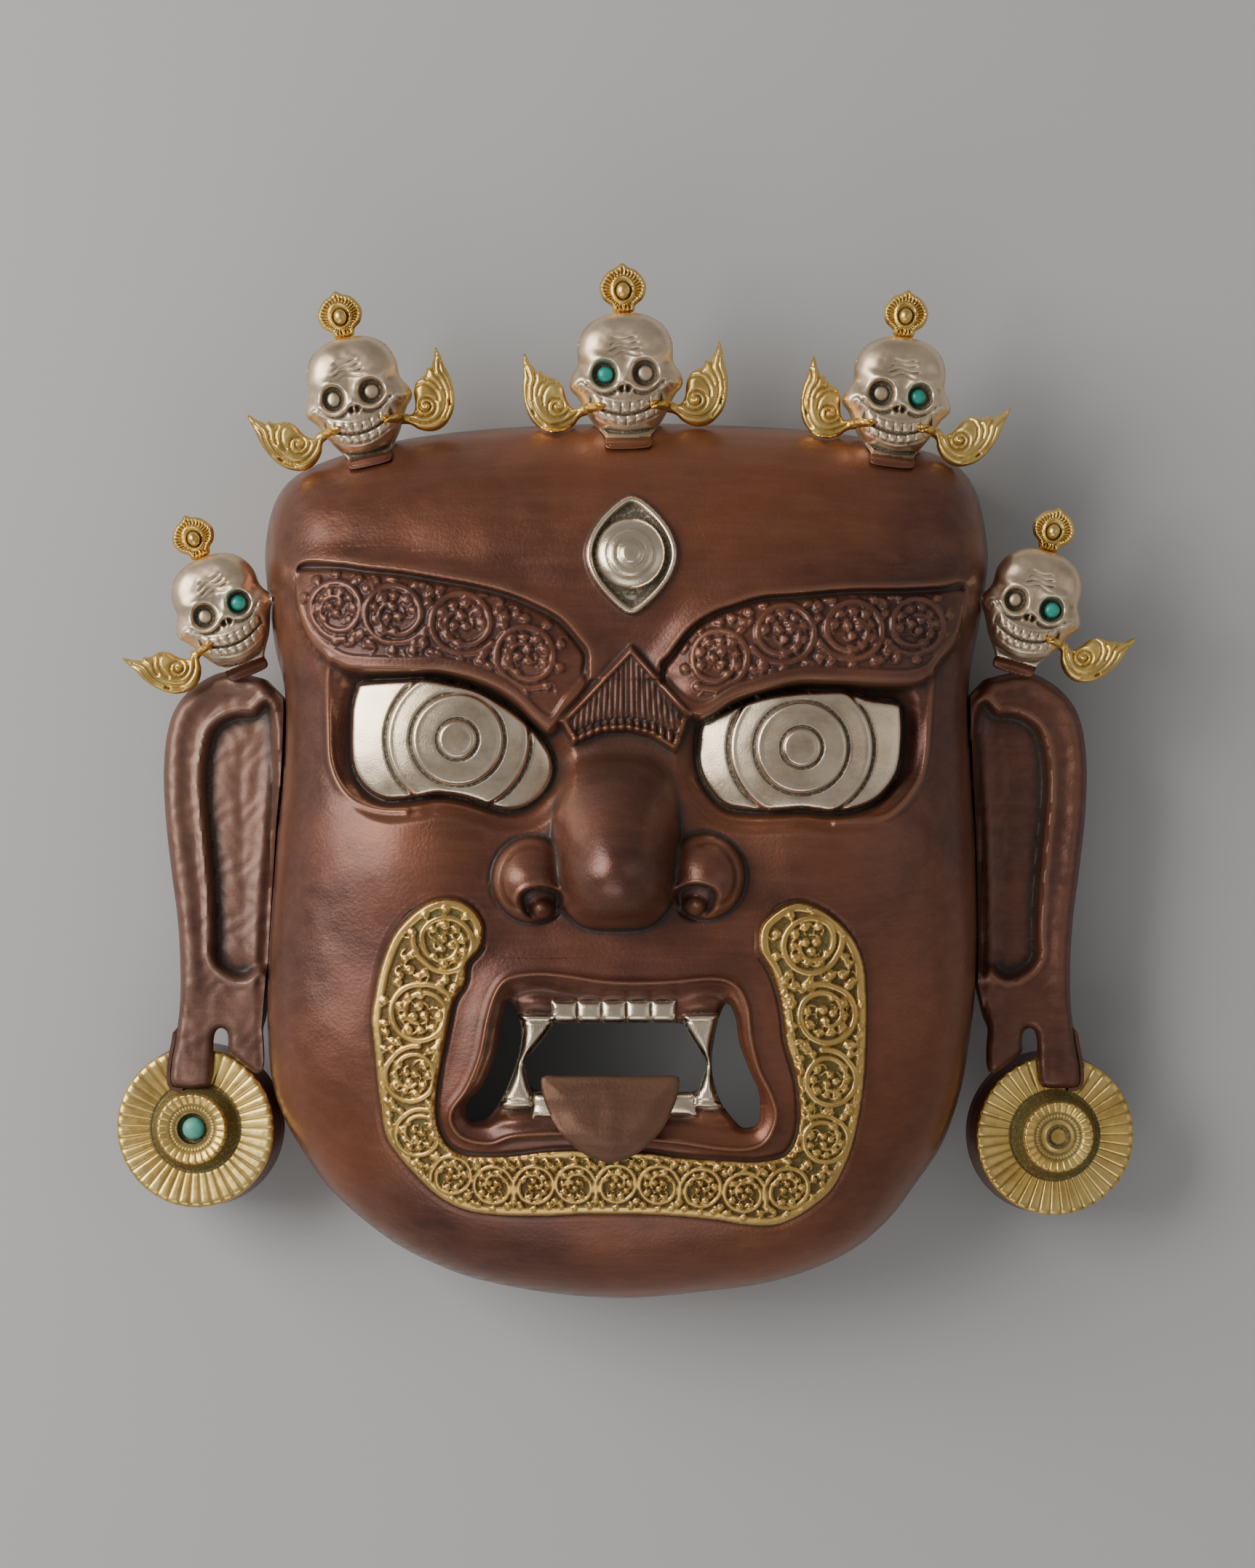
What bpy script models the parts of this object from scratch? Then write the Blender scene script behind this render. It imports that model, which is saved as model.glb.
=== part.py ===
# A repousse copper mask of a wrathful deity, lying face up on its back rim.
# X runs to the viewer's right, Y from chin to crown and Z from the rim to the nose.
# Sizes are in millimetres until stand_up() writes the mesh in metres.

import math

import bpy
import numpy as np
from mathutils import Vector
from mathutils.geometry import delaunay_2d_cdt

for old in list(bpy.data.objects):
    bpy.data.objects.remove(old)

MM = 0.001

# Driving dimensions. The outlines below are drawn for 367 by 370 and stretch with these two
MASK_WIDTH = 367.0
MASK_HEIGHT = 370.0
STRETCH = np.array([MASK_WIDTH / 367.0, MASK_HEIGHT / 370.0, 1.0])
FACE_SHEET = 1.5
TRIM_SHEET = 1.3
SOLDER_GAP = 0.35
SIDE_WALL = 42.0
DOME_RISE = 46.0
BROW_RISE = 7.0
EYE_BULGE = 7.0
EYE_RING_STEP = 0.9
NOSE_RISE = 33.0
WING_RISE = 15.0
MUZZLE_RISE = 8.0
LIP_RISE = 3.5
LIP_SINK = 7.0
BEARD_RISE = 2.6
TOOTH_RISE = 1.8
FANG_RISE = 3.2
EAR_DEPTH = 13.0
EAR_RECESS = 5.0
EAR_SWEEP = math.radians(6)
DISC_RADIUS_FRONT = 28.8
SKULL_SIDE = 6.0
SKULL_RISE = 15.0
FLAME_RISE = 2.0
CREST_RISE = 2.5
BEAD_RADIUS = 2.7

# The face's outline, then the right half of each feature that is symmetrical
FACE_CENTRE = (0.0, -20.0)
FACE_OUTLINE = [
    (0, 129.0), (42, 128.0), (75, 125.5), (104, 120.0), (118, 114.5), (125.5, 105.0), (129.0, 91.0), (130.0, 78.0),
    (127.5, 60.0), (123.2, 35.0), (123.6, 10.0), (125.2, -18.0), (126.0, -50.0), (125.4, -75.0), (123.0, -95.0),
    (120.2, -110.5), (114.0, -128.5), (105.0, -142.5), (93.0, -158.0), (77.0, -170.0), (53.0, -178.8),
    (25.0, -182.8), (0, -185.0), (-25.0, -183.2), (-50.8, -178.6), (-68.0, -172.6), (-85.0, -163.5),
    (-104.4, -147.2), (-115.0, -133.0), (-123.5, -117.5), (-127.2, -103.0), (-128.3, -85.0), (-128.0, -65.0),
    (-124.9, -20.0), (-122.6, 5.0), (-122.0, 32.0), (-125.8, 50.0), (-129.0, 76.0), (-128.4, 90.0), (-125.0, 102.0),
    (-118.0, 110.2), (-104.7, 116.4), (-80.6, 123.0), (-45.0, 127.2),
]
BROW = [
    (118, 74), (97, 72.5), (78, 70.7), (60, 68.6), (45, 65), (32.7, 59.4), (22.6, 51.8), (15.2, 43.6),
    (16.4, 33.5), (23.6, 26.8), (33, 30.6), (43, 36.4), (57, 41), (70, 42.8), (85, 43), (97, 44),
    (105, 49), (113, 57.5), (117, 66),
]
EYE_X = 60.0
EYE_Y = 14.5
EYE_RINGS = (6.8, 16.3, 25.0)
EYE = [
    (36, 16), (21, 20), (8, 20.2), (-5, 18.5), (-17, 15), (-27, 8.5), (-34, -1), (-35, -10), (-30, -18),
    (-23, -23), (-14, -23), (-3, -20.8), (8, -20.8), (18, -21.4), (28, -20), (34.5, -13), (36.8, 0),
]
THIRD_EYE_CENTRE = (1.5, 79.6)
THIRD_EYE_HALF_WIDTH = 16.0
THIRD_EYE_HALF_HEIGHT = 20.8
THIRD_EYE_BALL = 12.4
BRIDGE_PLATE = [(1.0, 48.0), (24.5, 23.5), (18.5, 14.5), (0.5, 20.0), (-19.0, 14.5), (-25.5, 23.0)]
NOSE_X = -3.0
NOSE_STATIONS = [
    (13, 0.00, 14), (8, 0.26, 17), (0, 0.46, 18), (-12, 0.68, 18.5), (-22, 0.88, 20),
    (-30, 1.00, 21.2), (-38, 0.95, 20.2), (-46, 0.66, 16.5), (-53, 0.00, 9),
]
WING_X = 30.0
WING_Y = -33.5
WING_HALF_WIDTH = 13.5
WING_HALF_HEIGHT = 14.5
NOSTRIL_X = 25.5
NOSTRIL_Y = -42.5
MOUTH_X = -5.2
LIP_HALF = [
    (0, -68.2), (22, -67), (33, -67.5), (40, -70.5), (45, -78), (48, -90), (52, -103), (56, -111.5),
    (56, -119), (52, -124.5), (42, -126.3), (28, -124), (12, -121.5), (0, -121),
]
SIDE_GAP = [
    (37.8, -76.5), (34.2, -83), (33.1, -90), (33.2, -97), (35.1, -103.5), (37.5, -109.5), (41.8, -114.8),
    (45.5, -118.6), (49, -118.4), (51, -113.6), (49.6, -108.4), (44.4, -99.4), (41.8, -92.7), (40.3, -84.5),
]
MIDDLE_GAP_HALF = [
    (0, -83.4), (12, -83.4), (22.5, -83.4), (25, -89), (28, -93), (30.9, -97), (30, -104.7), (28.4, -106.5),
    (14, -106.5), (0, -106.5),
]
FANG_TIP = (32.0, -97.0)
UPPER_FANG_ROOT = (28.5, -79.0)
LOWER_FANG_ROOT = (38.5, -113.0)
FANG_ROOT_HALF = 5.5
FANG_TIP_HALF = 1.2
TEETH = 5
UPPER_TEETH = (20.7, -75.9, -84.0)
LOWER_TEETH = (27.0, -106.0, -114.0)
BEARD_X = -2.5
BEARD_HALF = [
    (62.5, -54.1, 14.5), (69.5, -68, 14.7), (73, -85.5, 13.9), (74.3, -104, 11.4), (73, -121.7, 10.2),
    (65, -136, 10.7), (50, -142.5, 10.5), (30, -142.6, 10.6), (0, -141.5, 10.8),
]

# The ear at +X, from the face round to the lobe that hangs over the disc
EAR_FRONT = 45.0
EAR_BACK = 27.0
EAR_TOP = 32.0
EAR_FOOT = -72.0
EAR_OUTER = [
    (130, 37.5), (143, 40.0), (153, 36.0), (160.4, 29), (164.3, 20), (166.0, 6), (165.4, -12), (163.2, -32),
    (161.0, -49), (160.0, -66), (160.2, -80), (161.8, -92), (163.4, -101), (163.2, -106.0), (160.5, -107.8),
    (152.0, -107.8), (149.0, -106.0), (148.3, -98.0), (147.8, -91.0), (146.2, -88.2), (143.6, -88.6), (142.7, -91.5),
    (142.6, -97.0), (135.2, -97.8), (130.8, -88.0),
]
EAR_RECESS_LOOP = [
    (129, 24), (141, 24), (147.5, 20), (150.4, 12), (151.6, 0), (150.4, -16), (148.8, -34), (147.8, -52), (148, -62),
    (144, -67.5), (137, -70), (131, -64),
]
LOBE_OVER_DISC = -90.0
LOBE_BACK = 39.2

# The ear discs, as distance from the axis and height above the drum's back edge
DISC_PLACES = [("left", -154.86, -124.2, 40.0), ("right", 154.86, -127.0, 40.0)]
DISC_FLARE = 0.9
DISC_PROFILE = [
    (4.3, 20.2), (6.3, 20.2), (11.6, 21.2), (13.0, 20.2), (15.7, 14.6), (26.6, 15.4), (28.8, 15.4),
]
COLLET_FLOOR = 17.6
DISC_SIDES = 28

# The skull in its own frame, chin at the origin and crown up, as shares of its height
SKULL_HALF = [
    (0, 1.0), (0.19, 0.975), (0.33, 0.86), (0.385, 0.70), (0.385, 0.60), (0.44, 0.50), (0.45, 0.40),
    (0.37, 0.30), (0.30, 0.16), (0.20, 0.05), (0.16, -0.02), (0.16, -0.12), (0, -0.12),
]
SOCKET_X = 0.165
SOCKET_Y = 0.52
SOCKET_RADIUS = 0.105
SOCKET_DEPTH = 2.2

# Each skull: name, chin (x, y), lean, height, back level, the swing of each side's flame, and the eye with a bead
SKULLS = [
    ("top_left", -91.0, 117.0, 12, 42.0, 50.0, {-1: -24, 1: 3}, 0),
    ("top_middle", 1.0, 122.9977930917353, 2, None, 50.0, {-1: -6, 1: 0}, -1),
    ("top_right", 94.5, 116.5, -6, 42.0, 50.0, {-1: 3, 1: -28}, 1),
    ("side_left", -136.0, 43.0, 22, 40.0, 46.6, {-1: -34}, 1),
    ("side_right", 139.5, 44.0, -16, 40.0, 46.6, {1: -30}, 1),
]
FLAME_ROOT = (0.37, 0.225)
FLAME = [
    (0.37, 0.18), (0.44, 0.11), (0.56, 0.065), (0.68, 0.09), (0.77, 0.18), (0.815, 0.33), (0.815, 0.48),
    (0.79, 0.63), (0.765, 0.75), (0.72, 0.65), (0.67, 0.565), (0.59, 0.53), (0.505, 0.47), (0.48, 0.40),
    (0.475, 0.33), (0.45, 0.27), (0.41, 0.255), (0.37, 0.27),
]
CREST = [
    (-0.07, 0.012), (-0.10, 0.07), (-0.175, 0.15), (-0.185, 0.25), (-0.12, 0.34), (0, 0.41),
    (0.12, 0.34), (0.185, 0.25), (0.175, 0.15), (0.10, 0.07), (0.07, 0.012),
]
CREST_BALL = 0.065
CROWN_TIP = 185.0
TONGUE_HALF = [(0, -101.5), (21, -101.5), (23.4, -105), (22, -112), (17, -121.5), (10.5, -128), (0, -131)]


def smooth(low, high, value):
    share = np.clip((value - low) / (high - low), 0, 1)
    return share * share * (3 - 2 * share)


def hump(x, y, centre_x, centre_y, radius_x, radius_y):
    return np.exp(-(((x - centre_x) / radius_x) ** 2) - ((y - centre_y) / radius_y) ** 2)


def dome(share):
    return np.sqrt(np.clip(1 - share, 0, 1))


def both_halves(half, centre_x=0.0):
    """A closed loop from the half at +X, which starts and ends on the middle line."""
    right = [(centre_x + x, y) for x, y in half]
    left = [(centre_x - x, y) for x, y in reversed(half[1:-1])]
    return right + left


def flip(points, side):
    return [(side * x, y) for x, y in points]


def smooth_path(points, spacing, closed=True):
    """Points at an even spacing on a Catmull-Rom curve through the given ones."""
    knots = np.array(points, float)
    count = len(knots)
    spans = count if closed else count - 1
    share = np.linspace(0, 1, 12, endpoint=False)[:, None]
    pieces = []
    for i in range(spans):
        if closed:
            before, start, end, after = (knots[(i + k) % count] for k in (-1, 0, 1, 2))
        else:
            before, start, end, after = (knots[min(max(i + k, 0), count - 1)] for k in (-1, 0, 1, 2))
        pieces.append(
            0.5 * (2 * start + (end - before) * share + (2 * before - 5 * start + 4 * end - after) * share**2
                   + (3 * start - before - 3 * end + after) * share**3)
        )
    fine = np.concatenate(pieces + [knots[:1] if closed else knots[-1:]])
    run = np.concatenate([[0], np.cumsum(np.linalg.norm(np.diff(fine[:, :2], axis=0), axis=1))])
    steps = max(3, round(run[-1] / spacing))
    at = np.linspace(0, run[-1], steps, endpoint=False) if closed else np.linspace(0, run[-1], steps + 1)
    return np.column_stack([np.interp(at, run, fine[:, k]) for k in range(fine.shape[1])])


def depth_inside(x, y, loop):
    """How far each point lies inside a closed loop, negative outside it."""
    start = np.asarray(loop)[:, :2]
    end = np.roll(start, -1, axis=0)
    run = end - start
    away_x = x[..., None] - start[:, 0]
    away_y = y[..., None] - start[:, 1]
    share = np.clip((away_x * run[:, 0] + away_y * run[:, 1]) / (run**2).sum(1), 0, 1)
    distance = np.hypot(away_x - share * run[:, 0], away_y - share * run[:, 1]).min(-1)
    crosses = (start[:, 1] > y[..., None]) != (end[:, 1] > y[..., None])
    level = np.where(run[:, 1] == 0, 1e-9, run[:, 1])
    left_of = away_x < run[:, 0] * away_y / level
    inside = (crosses & left_of).sum(-1) % 2 == 1
    return np.where(inside, distance, -distance)


def outwards(loop):
    """The direction out of a closed loop at each of its points."""
    ahead = np.roll(loop, -1, axis=0) - np.roll(loop, 1, axis=0)
    out = np.column_stack([ahead[:, 1], -ahead[:, 0]])
    out /= np.linalg.norm(out, axis=1)[:, None]
    area = (loop[:, 0] * np.roll(loop[:, 1], -1) - loop[:, 1] * np.roll(loop[:, 0], -1)).sum()
    return out * np.sign(area)


def grown(loop, distance):
    return loop + outwards(loop) * distance


def circle(centre_x, centre_y, radius_x, radius_y, count):
    angle = np.linspace(0, 2 * math.pi, count, endpoint=False)
    return np.column_stack([centre_x + radius_x * np.cos(angle), centre_y + radius_y * np.sin(angle)])


def leaf(centre, half_width, half_height, spacing):
    """A leaf outline with a point above and below."""
    half = [(0, half_height), (0.42 * half_width, 0.80 * half_height), (0.86 * half_width, 0.45 * half_height),
            (half_width, 0), (0.86 * half_width, -0.45 * half_height), (0.42 * half_width, -0.80 * half_height),
            (0, -half_height)]
    return smooth_path([(centre[0] + x, centre[1] + y) for x, y in both_halves(half)], spacing)


face_loop = smooth_path(FACE_OUTLINE, 12.5)
fine_face_loop = smooth_path(FACE_OUTLINE, 3)
brow_loops = [smooth_path(flip(BROW, side), 6.5) for side in (-1, 1)]
eye_loops = [smooth_path([(side * (EYE_X + x), EYE_Y + y) for x, y in EYE], 6.5) for side in (-1, 1)]
third_eye_loop = leaf(THIRD_EYE_CENTRE, THIRD_EYE_HALF_WIDTH, THIRD_EYE_HALF_HEIGHT, 6)
lip_loop = smooth_path(both_halves(LIP_HALF, MOUTH_X), 7)
side_gap_loops = [smooth_path([(MOUTH_X + side * x, y) for x, y in SIDE_GAP], 5) for side in (-1, 1)]
middle_gap_loop = np.array(both_halves(MIDDLE_GAP_HALF, MOUTH_X))
beard_line = smooth_path(
    [(BEARD_X + x, y, w) for x, y, w in BEARD_HALF] + [(BEARD_X - x, y, w) for x, y, w in BEARD_HALF[-2::-1]],
    7, closed=False)


def beard_depth(x, y):
    """How far each point lies inside the beard band, whose half width changes along it."""
    start, end = beard_line[:-1], beard_line[1:]
    run = end[:, :2] - start[:, :2]
    away_x = x[..., None] - start[:, 0]
    away_y = y[..., None] - start[:, 1]
    share = np.clip((away_x * run[:, 0] + away_y * run[:, 1]) / (run**2).sum(1), 0, 1)
    distance = np.hypot(away_x - share * run[:, 0], away_y - share * run[:, 1])
    half_width = start[:, 2] + share * (end[:, 2] - start[:, 2])
    return (half_width - distance).max(-1)


def share_of_face(x, y):
    """0 at the face's centre and 1 at its side wall."""
    from_centre = fine_face_loop - FACE_CENTRE
    angles = np.arctan2(from_centre[:, 1], from_centre[:, 0])
    order = np.argsort(angles)
    away_x, away_y = x - FACE_CENTRE[0], y - FACE_CENTRE[1]
    radius = np.interp(np.arctan2(away_y, away_x), angles[order], np.hypot(*from_centre[order].T), period=2 * math.pi)
    return np.hypot(away_x, away_y) / radius


def cone_round(x, y, root, tip, root_half, tip_half):
    """The round of a tapering tooth, 1 on its axis and 0 at its sides."""
    run_x, run_y = tip[0] - root[0], tip[1] - root[1]
    length = math.hypot(run_x, run_y)
    along = ((x - root[0]) * run_x + (y - root[1]) * run_y) / length**2
    across = np.abs((x - root[0]) * run_y - (y - root[1]) * run_x) / length
    half = root_half + np.clip(along, 0, 1) * (tip_half - root_half)
    within = smooth(-0.08, 0.02, along) * smooth(1.08, 0.98, along)
    return within * dome((across / half) ** 2)


def tooth_rounds(x, y, row):
    half_row, top, bottom = row
    pitch = 2 * half_row / TEETH
    place = (x - MOUTH_X + half_row) / pitch
    across = 2 * np.abs(place - np.floor(place) - 0.5)
    upright = 2 * np.abs(y - (top + bottom) / 2) / abs(top - bottom)
    within = (np.abs(x - MOUTH_X) < half_row) & (upright < 1)
    return np.where(within, dome(across**4) * dome(upright**6), 0)


def face_height(x, y):
    """Height of the pressed face above the back rim."""
    share = share_of_face(x, y)
    inner = smooth(1.0, 0.86, share)
    swell = 6 * hump(x, y, 0, 85, 95, 40) + MUZZLE_RISE * hump(x, y, MOUTH_X, -97, 68, 46)
    for side in (-1, 1):
        swell = swell + 7 * hump(x, y, side * 74, -24, 34, 32)
    z = SIDE_WALL + DOME_RISE * dome(share**4) + inner * swell

    brows = [depth_inside(x, y, loop) for loop in brow_loops]
    brow = np.maximum(*brows)
    for eye_loop in eye_loops:
        hollow = smooth(-8, 0, depth_inside(x, y, eye_loop)) * smooth(2, -2, brow)
        z = z - 7 * hollow
    z = z + inner * BROW_RISE * smooth(-2.5, 2.0, brow)
    for side, eye_loop in zip((-1, 1), eye_loops):
        depth = depth_inside(x, y, eye_loop)
        away = np.hypot(x - side * EYE_X, y - EYE_Y)
        ball = SIDE_WALL + DOME_RISE - 8 + EYE_BULGE * (1 - (away / 40) ** 2)
        for radius in EYE_RINGS:
            ball = ball + EYE_RING_STEP * smooth(radius + 0.8, radius - 0.8, away)
        z = z + (ball - z) * smooth(-1.0, 1.0, depth)

    depth = depth_inside(x, y, third_eye_loop)
    away = np.hypot(x - THIRD_EYE_CENTRE[0], y - THIRD_EYE_CENTRE[1])
    z = z + 2.5 * smooth(-1.0, 1.0, depth) - 3.0 * smooth(2.0, 4.5, depth)
    z = z + 6.5 * dome((away / THIRD_EYE_BALL) ** 2) * smooth(2, 4, depth)

    depth = depth_inside(x, y, np.array(BRIDGE_PLATE))
    z = z + 4.0 * smooth(-2.0, 1.5, depth) - 1.5 * smooth(2.0, 3.5, depth)

    levels, heights, halves = np.array(NOSE_STATIONS[::-1]).T
    ridge = np.interp(y, levels, heights) * NOSE_RISE
    half = np.interp(y, levels, halves)
    z = z + ridge * np.clip(1 - ((x - NOSE_X) / half) ** 2, 0, 1) ** 0.58
    for side in (-1, 1):
        wing = ((x - NOSE_X - side * WING_X) / WING_HALF_WIDTH) ** 2 + ((y - WING_Y) / WING_HALF_HEIGHT) ** 2
        beside_nose = np.clip(((x - NOSE_X) / half) ** 2, 0, 1) ** 2
        z = z + WING_RISE * beside_nose * np.clip(1 - wing, 0, 1) ** 0.6
        z = z - 11 * hump(x, y, NOSE_X + side * NOSTRIL_X, NOSTRIL_Y, 5.5, 4.5)

    depth = depth_inside(x, y, lip_loop)
    z = z + LIP_RISE * np.exp(-((depth / 3.5) ** 2)) - LIP_SINK * smooth(0, 9, depth)
    for side in (-1, 1):
        tip = (MOUTH_X + side * FANG_TIP[0], FANG_TIP[1])
        for root_x, root_y in (UPPER_FANG_ROOT, LOWER_FANG_ROOT):
            root = (MOUTH_X + side * root_x, root_y)
            z = z + FANG_RISE * cone_round(x, y, root, tip, FANG_ROOT_HALF, FANG_TIP_HALF)
    z = z + TOOTH_RISE * (tooth_rounds(x, y, UPPER_TEETH) + tooth_rounds(x, y, LOWER_TEETH))
    return z + BEARD_RISE * smooth(-1.0, 1.0, beard_depth(x, y))


def thinned(groups, gaps, already):
    """Points of several groups, each kept only where it is clear of those before it."""
    kept = [tuple(p) for p in already]
    for points, gap in zip(groups, gaps):
        for point in points:
            near = np.array(kept)
            if np.hypot(near[:, 0] - point[0], near[:, 1] - point[1]).min() >= gap:
                kept.append((point[0], point[1]))
    return kept


def grid_inside(loop, spacing):
    low, high = loop.min(0), loop.max(0)
    rows = []
    for i, level in enumerate(np.arange(low[1] + spacing / 2, high[1], spacing * 0.87)):
        shift = spacing / 2 * (i % 2)
        rows += [(x, level) for x in np.arange(low[0] + spacing / 2 + shift, high[0], spacing)]
    points = np.array(rows)
    return points[depth_inside(points[:, 0], points[:, 1], loop) > spacing * 0.45]


def triangulate(outline, holes, points):
    """Triangles over an outline with holes, using every point given."""
    loops = [outline] + holes
    edges, start = [], 0
    for loop in loops:
        edges += [(start + i, start + (i + 1) % len(loop)) for i in range(len(loop))]
        start += len(loop)
    corners, _, faces, *_ = delaunay_2d_cdt([Vector(p) for p in points], edges, [], 0, 1e-5)
    corners = np.array([tuple(c) for c in corners])
    faces = np.array(faces)
    middle = corners[faces].mean(1)
    kept = depth_inside(middle[:, 0], middle[:, 1], outline) > 0
    for hole in holes:
        kept &= depth_inside(middle[:, 0], middle[:, 1], hole) < 0
    faces = faces[kept]
    a, b, c = (corners[faces[:, k]] for k in range(3))
    turn = (b[:, 0] - a[:, 0]) * (c[:, 1] - a[:, 1]) - (b[:, 1] - a[:, 1]) * (c[:, 0] - a[:, 0])
    faces[turn < 0] = faces[turn < 0][:, ::-1]
    return corners, faces


def material(name, colour, roughness, metallic):
    made = bpy.data.materials.new(name)
    made.use_nodes = True
    shader = made.node_tree.nodes["Principled BSDF"]
    shader.inputs["Base Color"].default_value = (*colour, 1)
    shader.inputs["Roughness"].default_value = roughness
    shader.inputs["Metallic"].default_value = metallic
    made.diffuse_color = (*colour, 1)
    return made


copper = material("copper", (0.23, 0.09, 0.06), 0.42, 1.0)
gilt = material("gilt", (0.80, 0.52, 0.18), 0.35, 1.0)
silver = material("silver", (0.72, 0.67, 0.58), 0.35, 1.0)
turquoise = material("turquoise", (0.02, 0.45, 0.38), 0.45, 0.0)


def stand_up(name, points, faces, materials, paint=None):
    """Writes a mesh object in metres. paint gives each face's material from its middle."""
    mesh = bpy.data.meshes.new(name)
    mesh.from_pydata((np.asarray(points) * STRETCH * MM).tolist(), [], [list(map(int, f)) for f in faces])
    for made in materials:
        mesh.materials.append(made)
    if paint:
        for polygon in mesh.polygons:
            x, y, z = np.array(polygon.center) / STRETCH / MM
            polygon.material_index = paint(x, y, z, polygon.normal.z)
    mesh.shade_smooth()
    mesh.set_sharp_from_angle(angle=math.radians(38))
    placed = bpy.data.objects.new(name, mesh)
    bpy.context.scene.collection.objects.link(placed)
    return placed


def wall_faces(upper, lower):
    """Quads between two closed rings of vertex numbers."""
    count = len(upper)
    return [(upper[i], lower[i], lower[(i + 1) % count], upper[(i + 1) % count]) for i in range(count)]


def counter_clockwise(loop):
    area = (loop[:, 0] * np.roll(loop[:, 1], -1) - loop[:, 1] * np.roll(loop[:, 0], -1)).sum()
    return loop if area > 0 else loop[::-1]


def hollow_sheet(outline, holes, seeds, gaps, height, foot, thickness):
    """A pressed sheet with a wall turned back along its outline, open behind. foot gives the wall's lower edge."""
    outline = counter_clockwise(outline)
    holes = [counter_clockwise(hole) for hole in holes]
    rim = np.concatenate([outline] + holes)
    points = thinned(seeds, gaps, rim)
    corners, faces = triangulate(outline, holes, points)
    count, ring = len(corners), len(outline)
    top = np.column_stack([corners, height(corners[:, 0], corners[:, 1])])
    wall = np.column_stack([outline, foot(outline[:, 0], outline[:, 1])])

    a, b, c = (top[faces[:, k]] for k in range(3))
    across = np.cross(b - a, c - a)
    normals = np.zeros_like(top)
    for k in range(3):
        np.add.at(normals, faces[:, k], across)
    normals /= np.linalg.norm(normals, axis=1)[:, None]
    normals[:ring] = np.column_stack([outwards(outline), np.ones(ring)])
    normals[ring:len(rim)] = (0, 0, 1)
    under = top - normals * thickness
    inner_wall = wall.copy()
    inner_wall[:, :2] = under[:ring, :2]
    inner_wall[:, 2] = foot(inner_wall[:, 0], inner_wall[:, 1])

    everything = np.concatenate([top, wall, under, inner_wall])
    outer_edge = list(range(ring))
    outer_foot = [count + i for i in range(ring)]
    inner_edge = [count + ring + i for i in range(ring)]
    inner_foot = [2 * count + ring + i for i in range(ring)]
    made = [tuple(f) for f in faces] + [tuple(f + count + ring)[::-1] for f in faces]
    made += wall_faces(outer_edge, outer_foot)
    made += wall_faces(outer_foot, inner_foot)
    made += wall_faces(inner_foot, inner_edge)
    start = ring
    for hole in holes:
        upper = [start + i for i in range(len(hole))]
        lower = [count + ring + i for i in upper]
        made += [tuple(reversed(face)) for face in wall_faces(upper, lower)]
        start += len(hole)
    return everything, made


def slab(outline, seeds, gaps, height, under_seeds, under):
    """A solid between two surfaces over one outline."""
    outline = counter_clockwise(outline)
    ring = len(outline)
    corners, faces = triangulate(outline, [], thinned(seeds, gaps, outline))
    below, below_faces = triangulate(outline, [], thinned([under_seeds], [2.0], outline))
    top = np.column_stack([corners, height(corners[:, 0], corners[:, 1])])
    bottom = np.column_stack([below, under(below[:, 0], below[:, 1])])
    count = len(corners)
    made = [tuple(f) for f in faces] + [tuple(f + count)[::-1] for f in below_faces]
    made += wall_faces(list(range(ring)), [count + i for i in range(ring)])
    return np.concatenate([top, bottom]), made


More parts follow.
